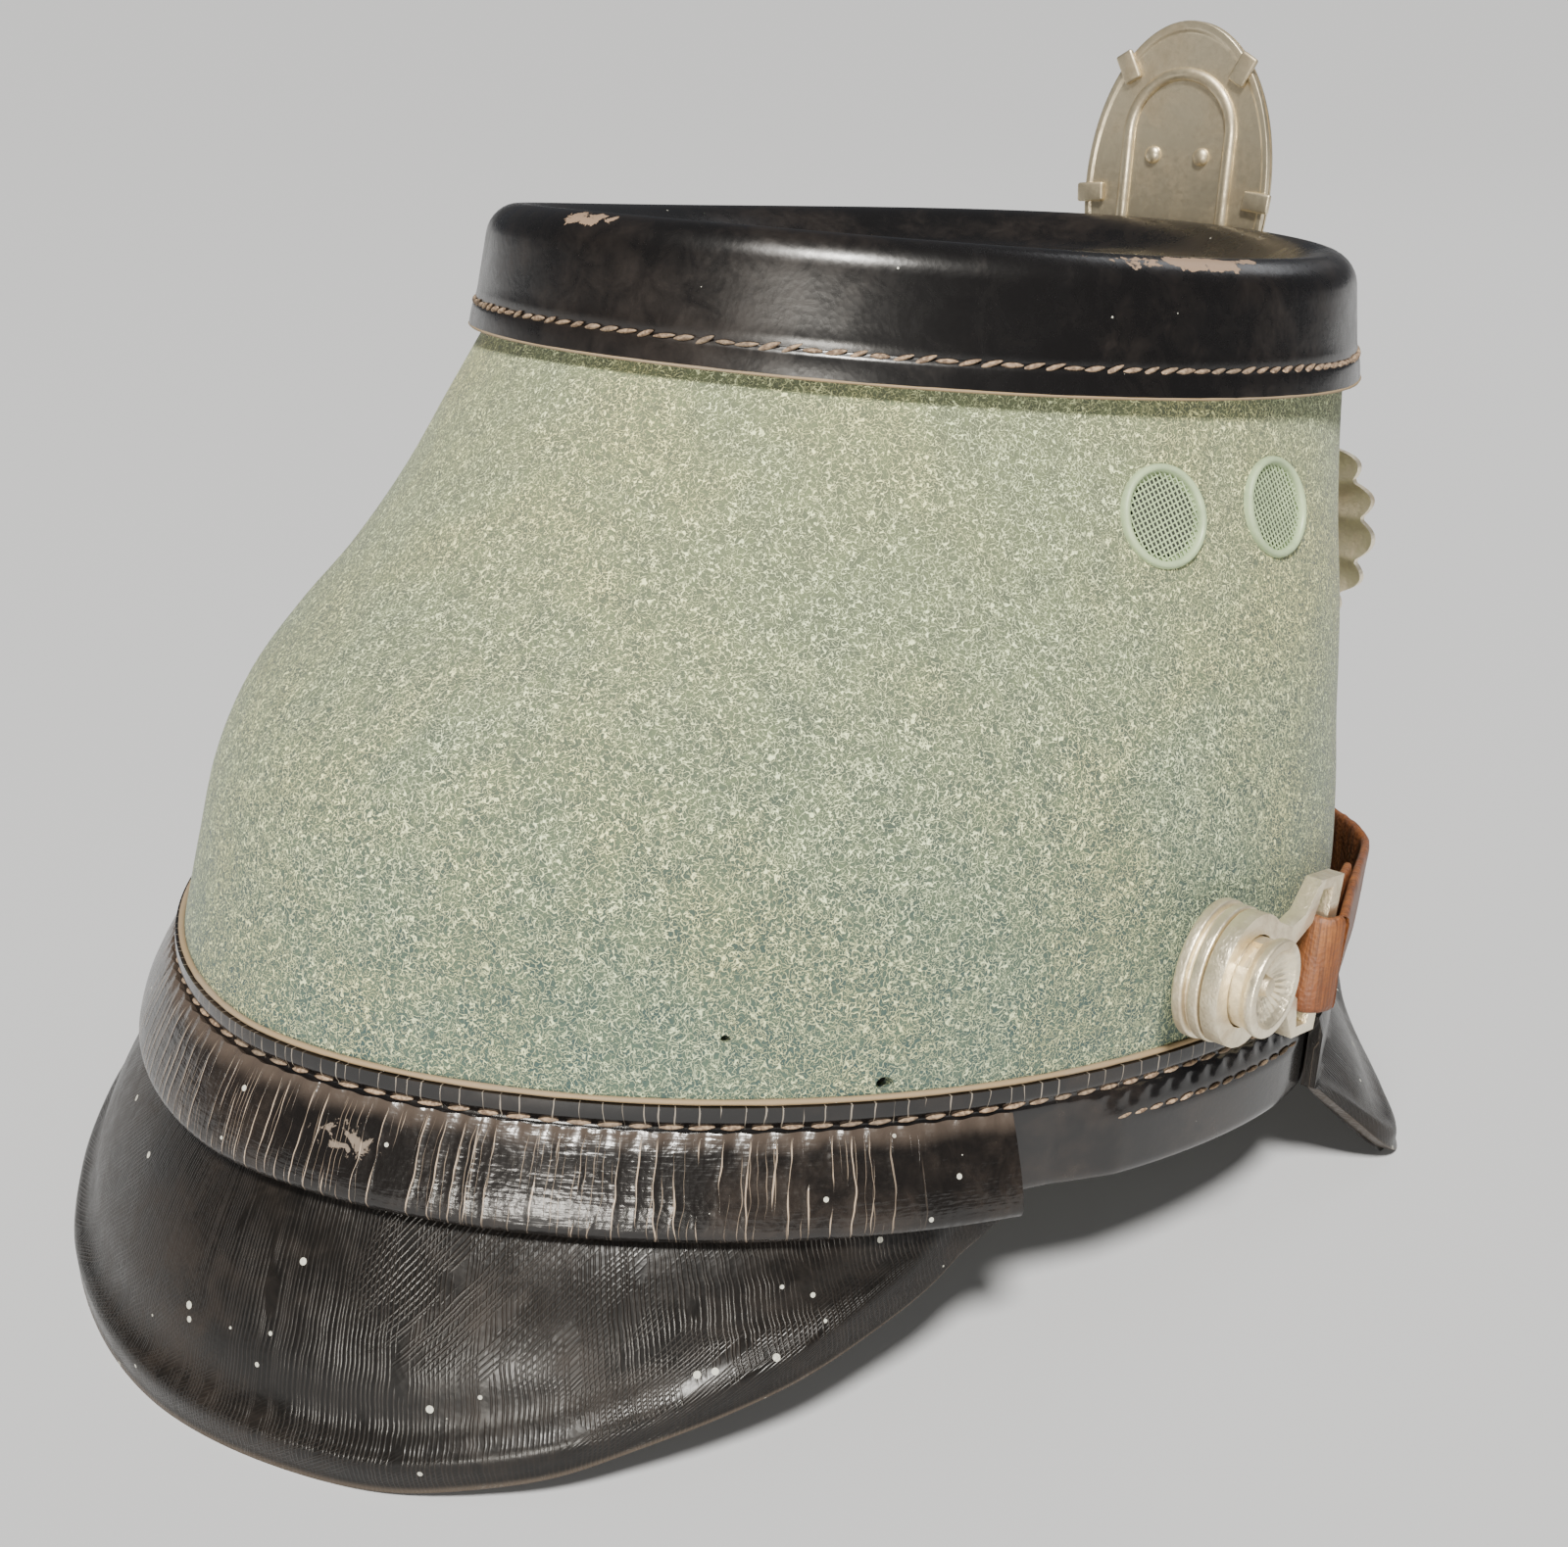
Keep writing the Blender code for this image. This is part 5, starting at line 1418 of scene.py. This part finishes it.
# %% Discs and posts
SLOT_TURN, SLOT_SIZE = 128, (3.6 * MM, 4.6 * MM, 1.5 * MM, 1)
for side, mirror in (("R", 1), ("L", -1)):
    where = STAND @ lug_frame(mirror)
    radius = LUG_WIDTH / 2
    disc_line = rounded_profile([(0, 0), (radius, 0), (radius, 1.55 * MM), (radius - 0.9 * MM, 1.75 * MM),
                                 (radius - 0.9 * MM, 2.1 * MM), (radius - 0.25 * MM, 2.3 * MM),
                                 (radius - 0.25 * MM, LUG_WALL), (0, LUG_WALL)], 0.35 * MM)
    ready(spun(f"lug_disc_{side}", disc_line, 96, where), alloy_look, [f"lug_base_{side}"],
          sharp=50)

    post, cap, dish = POST_WIDTH / 2, CAP_WIDTH / 2, CAP_WIDTH / 2 - CAP_RIM
    post_line = rounded_profile([(0, bracket_low), (post, bracket_low), (post, cap_top - 2.3 * MM),
                                 (cap, cap_top - 1.3 * MM), (cap, cap_top - 0.1 * MM),
                                 (cap - 1.0 * MM, cap_top), (dish + 0.2 * MM, cap_top - 0.1 * MM),
                                 (dish - 0.4 * MM, cap_top - 1.0 * MM)], 0.4 * MM)
    face = [(dish - 0.4 * MM - (dish - 2.0 * MM) * k / 9, cap_top - (1.0 + 1.3 * k / 9) * MM)
            for k in range(1, 10)]
    boss = [(1.50 * MM, cap_top - 2.0 * MM), (1.3 * MM, cap_top - 1.1 * MM), (0.8 * MM, cap_top - 0.8 * MM),
            (0.0, cap_top - 0.72 * MM)]
    knob = spun(f"lug_knob_{side}", post_line + face + boss, 132, where, ripple=cap_flutes)
    pick()
    bpy.ops.mesh.primitive_cube_add(size=1)
    slot = bpy.context.object
    slot_height = mix(bracket_low + BRACKET_WALL, cap_top - 2.3 * MM, 0.5)
    slot.data.transform(where @ Matrix.Rotation(math.radians(SLOT_TURN), 4, "Z")
                        @ Matrix.Translation((post, 0, slot_height)) @ Matrix.Diagonal(SLOT_SIZE))
    cut_out(knob, slot)
    ready(knob, alloy_look, [f"lug_post_{side}"], sharp=40)

# %% [markdown]
# A cast fitting has soft edges that catch the light. The brackets have the right shape in the frame
# already, so a copy of each solid is merged, cleaned and given fine bevels, and the copy stands for
# the solid.

# %% Copies of solids with soft edges
def softened(node_name, name, width, look, segments=3, angle=35):
    """A merged copy of a solid with bevelled edges."""
    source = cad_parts[node_name]
    made = bpy.data.objects.new(name, source.data.copy())
    bpy.context.collection.objects.link(made)
    pick(made)
    bpy.ops.object.mode_set(mode="EDIT")
    bpy.ops.mesh.select_all(action="SELECT")
    bpy.ops.mesh.remove_doubles(threshold=0.004 * MM)
    bpy.ops.mesh.dissolve_limited(angle_limit=math.radians(2))
    bpy.ops.object.mode_set(mode="OBJECT")
    finish_with(made, "BEVEL", width=width, segments=segments, limit_method="ANGLE",
                angle_limit=math.radians(angle), harden_normals=False, use_clamp_overlap=True)
    return ready(made, look, [node_name], sharp=32)


for side in ("R", "L"):
    softened(f"strap_bracket_{side}", f"bracket_{side}", 0.5 * MM, alloy_look)

# %% [markdown]
# ## The chin strap
#
# The strap is a flat leather band on edge. It is folded round the bar of each bracket and lies across
# the front of the hat. Its path is one line of points for the right half, which is mirrored: round the
# bar, past it, and then along the felt as the foot's oval runs.

# %% The strap's route
STRAP_WIDTH, STRAP_WALL, STRAP_DROP, STRAP_SLIP = 15 * MM, 2.0 * MM, 6 * MM, 0.9 * MM
STRAP_STANDS, STRAP_FALL_TURN, LOOP_EASE = 4.3 * MM, 20.0, 0.75 * MM


def strap_route():
    """The strap's middle line and its upward edge, from the right fold to the left one."""
    where = lug_frame(1)
    bar = where @ Vector((BRACKET_REACH, -STRAP_SLIP, LUG_WALL + GAP + BRACKET_WALL / 2))
    deep, wide = BRACKET_WALL / 2 + LOOP_EASE + STRAP_WALL / 2, BRACKET_BAR / 2 + LOOP_EASE + STRAP_WALL / 2
    half = [on_body(turn, bar.z, GAP * 2 + BAND_WALL + STRAP_WALL * 0.6) for turn in (-15.0, -10.0, -6.0)]
    for point in half:
        point.z = bar.z
    for angle in (-35, 0, 30, 60, 90, 120, 150, 185, 220):
        bend = math.radians(angle)
        half.append(bar + Vector((deep * math.cos(bend), wide * math.sin(bend), 0)))
    first = -26.0
    ahead = on_body(first, bar.z, STRAP_STANDS + STRAP_WALL / 2)
    half.append(half[-1].lerp(Vector((ahead.x, ahead.y, half[-1].z)), 0.4))
    edges = [(where.to_3x3() @ Vector((0, 1, 0))).normalized()] * len(half)
    for k in range(14):
        turn = mix(first, -90, k / 13)
        point = on_body(turn, bar.z, STRAP_STANDS + STRAP_WALL / 2)
        point.z = bar.z - STRAP_DROP * mix(0.4, 1, eased((first - turn) / STRAP_FALL_TURN))
        half.append(point)
        edges.append(edges[0].lerp(Vector((0, 0, 1)), min(k / 3, 1)).normalized())
    both = list(zip(half, edges))
    flip = Vector((-1, 1, 1))
    return both + [(point * flip, edge * flip) for point, edge in reversed(both[:-1])]


def smoothed(values, parts):
    """More points on a smooth curve through the given ones."""
    line = []
    for k in range(len(values) - 1):
        a, b, c, d = (values[min(max(k + j, 0), len(values) - 1)] for j in (-1, 0, 1, 2))
        for j in range(parts):
            t = j / parts
            line.append(b + (c - a) * 0.5 * t + (a - b * 2.5 + c * 2 - d * 0.5) * t * t
                        + ((d - a) * 0.5 + (b - c) * 1.5) * t * t * t)
    return line + [values[-1]]


SMOOTH_PARTS = 5
route = strap_route()
middles = smoothed([point for point, _ in route], SMOOTH_PARTS)
edges = smoothed([edge for _, edge in route], SMOOTH_PARTS)
strap_length = sum((b - a).length for a, b in zip(middles, middles[1:]))
print("strap length:", round(strap_length * 1000), "mm")

# %% [markdown]
# A flat section with rounded edges is carried along the route. Its width and thickness waver by a
# twentieth, as cut and worn leather does.

# %% Lay the strap
STRAP_SECTION = [(1, 0.0), (1, 0.45), (0.98, 0.85), (0.72, 0.965), (0.3, 1.0)]
STRAP_SECTION += [(-x, y) for x, y in reversed(STRAP_SECTION)]
STRAP_SECTION += [(-x, -y) for x, y in STRAP_SECTION[1:-1]]
rows = []
for k, (point, up) in enumerate(zip(middles, edges)):
    along = (middles[min(k + 1, len(middles) - 1)] - middles[max(k - 1, 0)]).normalized()
    across = along.cross(up).normalized()
    rise = across.cross(along).normalized()
    thick = STRAP_WALL / 2 * (0.80 + 0.05 * wave_noise.noise(point * 160))
    wide = STRAP_WIDTH / 2 * (1 - 0.05 * abs(wave_noise.noise(point * 260)))
    section = []
    for x, y in STRAP_SECTION:
        bow = 0.05 * MM * wave_noise.noise(point * 300 + up * y * 2)
        section.append(STAND @ (point + across * (thick * x + bow) + rise * wide * y))
    rows.append(section)
strap = laid("strap", rows, loop=True, size=(strap_length, 34 * MM))
ready(strap, strap_look, ["chin_strap"], sharp=60)

# %% [markdown]
# ## The cockade and the badge
#
# The cockade's back is a thin plate with a raised, horseshoe-shaped channel, two rivets and four tabs
# folded over from the front, on a short stem that leaves the crown. Each is pressed from its own
# profile. The photograph shows the fronts of the cockade and the badge hardly at all, so these are
# plain, generic forms of their kind: an oval shield with three raised ovals, and a sun of smooth rays
# round a bare middle.

# %% Press the cockade's back
COCKADE_WIDTH, COCKADE_HEIGHT, COCKADE_CENTRE = 41.5 * MM, 64 * MM, 113 * MM
COCKADE_WALL, COCKADE_STANDOFF, COCKADE_DOME = 1.0 * MM, 8.5 * MM, 4.0 * MM
CHANNEL_WIDTH, CHANNEL_RADIUS, CHANNEL_TOP = 23 * MM, 1.1 * MM, 22 * MM
STEM_WIDTH = 8 * MM


def front_frame(height, forward):
    """A matrix in front of the hat: X to the wearer's right, Y up, Z forwards."""
    return aimed((-1, 0, 0), (0, 0, 1), (0, -1, 0), (0, -forward, height))


cockade_back_at = RIM_FORWARD + RIM_LENGTH / 2 + GAP + COCKADE_STANDOFF
back_frame = STAND @ front_frame(COCKADE_CENTRE, cockade_back_at)
half_tall = COCKADE_HEIGHT / 2
plate_line = rounded_profile([(0.0, 0.05 * MM), (half_tall * 0.93, 0.05 * MM),
                              (half_tall * 0.95, -0.3 * MM), (half_tall, -0.3 * MM),
                              (half_tall, COCKADE_WALL), (0.0, COCKADE_WALL)], 0.3 * MM)
back_parts = [spun("plate", plate_line, 180, back_frame, stretch=(COCKADE_WIDTH / COCKADE_HEIGHT, 1.0))]

half, drop = CHANNEL_WIDTH / 2, COCKADE_HEIGHT * 0.16
path = [(half, -drop + 1.2 * MM * k) for k in range(6)]
path += [(half * math.cos(math.pi * k / 30), CHANNEL_TOP - half + half * math.sin(math.pi * k / 30))
         for k in range(31)]
path += [(-half, -drop + 1.2 * MM * (5 - k)) for k in range(6)]
rows = []
for k, (x, y) in enumerate(path):
    (x0, y0), (x1, y1) = path[max(k - 1, 0)], path[min(k + 1, len(path) - 1)]
    across = Vector((y0 - y1, x1 - x0, 0)).normalized()
    rows.append([back_frame @ (Vector((x, y, 0)) + across * CHANNEL_RADIUS * 1.15 * math.cos(a)
                               + Vector((0, 0, CHANNEL_RADIUS * 0.9 * math.sin(a))))
                 for a in [2 * math.pi * j / 14 for j in range(14)]])
back_parts.append(laid("channel", rows, loop=True))
rivet_line = [(0.0, -1.15 * MM), (0.8 * MM, -1.05 * MM), (1.4 * MM, -0.75 * MM), (1.75 * MM, -0.25 * MM),
              (1.8 * MM, 0.3 * MM), (0.0, 0.3 * MM)]
for x in (-5.5 * MM, 5.5 * MM):
    back_parts.append(spun("rivet", rivet_line, 24, back_frame @ Matrix.Translation((x, 6.4 * MM, 0))))
for x, y in ((-0.62, 0.72), (0.62, 0.72), (-0.92, -0.05), (0.92, -0.05)):
    pick()
    bpy.ops.mesh.primitive_cube_add(size=1)
    tab = bpy.context.object
    tab.data.transform(Matrix.Diagonal((6.0 * MM, 3.8 * MM, 1.2 * MM, 1)))
    finish_with(tab, "BEVEL", width=0.5 * MM, segments=3, limit_method="NONE")
    for vertex in tab.data.vertices:
        vertex.co.z -= 18.0 * vertex.co.x**2 if vertex.co.x > 0 else 0
    turn = Matrix.Rotation(math.atan2(y * COCKADE_HEIGHT, x * COCKADE_WIDTH), 4, "Z")
    tab.data.transform(back_frame @ Matrix.Translation((x * COCKADE_WIDTH / 2, y * COCKADE_HEIGHT / 2,
                                                        -0.5 * MM)) @ turn)
    back_parts.append(tab)
crown_here = -on_body(-90, FELT_HEIGHT + CROWN_HEIGHT / 2, CROWN_WALL + GAP).y - cockade_back_at
stem_line = rounded_profile([(0.0, crown_here + 0.1 * MM),
                             (STEM_WIDTH / 2 + 1.2 * MM, crown_here + 0.1 * MM),
                             (STEM_WIDTH / 2 + 1.2 * MM, crown_here + 1.2 * MM),
                             (STEM_WIDTH / 2, crown_here + 1.4 * MM), (STEM_WIDTH / 2, 0.5 * MM),
                             (0.0, 0.5 * MM)], 0.3 * MM)
stem_height = FELT_HEIGHT + CROWN_HEIGHT / 2 - COCKADE_CENTRE
back_parts.append(spun("stem", stem_line, 40, back_frame @ Matrix.Translation((0, stem_height, 0))))
ready(joined("cockade_back", back_parts), silver_look, ["cockade_plate"], sharp=45)

# %% [markdown]
# The shield is pressed in steps that rise to its middle, with a ring of short ribs. It is a profile swept
# into an oval, because every step has the oval's own form.

# %% Press the shield
cockade_front = cockade_back_at + COCKADE_WALL + GAP
steps_up = [(1.0, 0.0), (1.0, 0.12), (0.99, 0.24), (0.93, 0.5), (0.74, 0.55), (0.70, 0.8), (0.42, 0.86),
            (0.38, 1.0), (0.0, 1.0)]
shield_line = rounded_profile([(share * COCKADE_HEIGHT / 2, rise * COCKADE_DOME) for share,
                               rise in steps_up], 0.7 * MM)
shield_line = [(0.0, 0.0)] + shield_line


RIBS_IN, RIBS_OUT, RIB_DEPTH, RIB_COUNT = 0.74, 0.93, 0.22 * MM, 60


def shield_ribs(angle, radius):
    """The ring of short ribs between the shield's second and third step."""
    share = radius / (COCKADE_HEIGHT / 2)
    if share < RIBS_IN or share > RIBS_OUT:
        return 0.0
    depth = RIB_DEPTH * math.sin(math.pi * (share - RIBS_IN) / (RIBS_OUT - RIBS_IN))
    return -depth * (0.5 + 0.5 * math.cos(RIB_COUNT * angle))


shield = spun("cockade_front", shield_line, 240, STAND @ front_frame(COCKADE_CENTRE, cockade_front),
              stretch=(COCKADE_WIDTH / COCKADE_HEIGHT, 1.0), ripple=shield_ribs)
ready(shield, silver_look, ["cockade_shield"], sharp=50)

# %% [markdown]
# The badge is a sun pressed from sheet: a low dome with a bare middle, and rays like rounded flutes with
# narrow grooves between them. Each ray is read from one wave, so all are alike. Its wall is laid with
# it, and a stud holds it to the felt.

# %% Press the badge
BADGE_WIDTH, BADGE_HEIGHT, BADGE_CENTRE = 116 * MM, 62 * MM, 51.5 * MM
BADGE_DOME, BADGE_WALL, BADGE_RAYS, BADGE_FLUTE = 6.0 * MM, 1.6 * MM, 28, 0.9 * MM
felt_front = max(-on_body(-90, BADGE_CENTRE + rise * BADGE_HEIGHT / 2).y for rise in (-1, 0, 1))
badge_frame = STAND @ front_frame(BADGE_CENTRE, felt_front + GAP)
steps, RINGS = BADGE_RAYS * 10, 18
BADGE_POWER = 2 / 2.2
NOTCH_SHARE, RAY_START, RAY_RISE = 0.045, 0.3, 0.25
BOSS_EDGE, BOSS_SOFTNESS, BOSS_GROOVE = 0.31, 0.03, 0.5 * MM
fronts = []
for i in range(steps):
    angle = 2 * math.pi * (i + 0.5) / steps
    ray = 2 * abs(math.cos(BADGE_RAYS * angle / 2)) - 1
    x = BADGE_WIDTH / 2 * math.copysign(abs(math.cos(angle)) ** BADGE_POWER, math.cos(angle))
    y = BADGE_HEIGHT / 2 * math.copysign(abs(math.sin(angle)) ** BADGE_POWER, math.sin(angle))
    row = [Vector((0, 0, BADGE_WALL + BADGE_DOME))]
    for k in range(1, RINGS + 1):
        share = k / RINGS
        stretch = share * (1 - NOTCH_SHARE * (0.5 - 0.5 * ray) * share**3)
        rise = BADGE_DOME * (1 - share * share)
        flute = BADGE_FLUTE * (0.5 + 0.5 * ray) * eased((share - RAY_START) / RAY_RISE)
        boss = -BOSS_GROOVE * math.exp(-((share - BOSS_EDGE) / BOSS_SOFTNESS)**2)
        row.append(Vector((x * stretch, y * stretch, BADGE_WALL + rise + flute + boss)))
    for k in range(RINGS, -1, -1):
        share = k / RINGS
        stretch = share * (1 - NOTCH_SHARE * (0.5 - 0.5 * ray) * share**3)
        flute = BADGE_FLUTE * (0.5 + 0.5 * ray) * eased((share - RAY_START) / RAY_RISE) * 0.8
        row.append(Vector((x * stretch, y * stretch, BADGE_DOME * (1 - share * share) + flute)))
    fronts.append([badge_frame @ point for point in row])
badge = laid("badge", fronts, around=True)
stud = spun("stud", [(0.0, 0.0), (STEM_WIDTH / 2, 0.0), (STEM_WIDTH / 2, BADGE_DOME + 0.8 * MM),
                     (0.0, BADGE_DOME + 0.8 * MM)], 32, badge_frame)
ready(joined("badge", [badge, stud]), alloy_look, ["front_badge"], sharp=50)
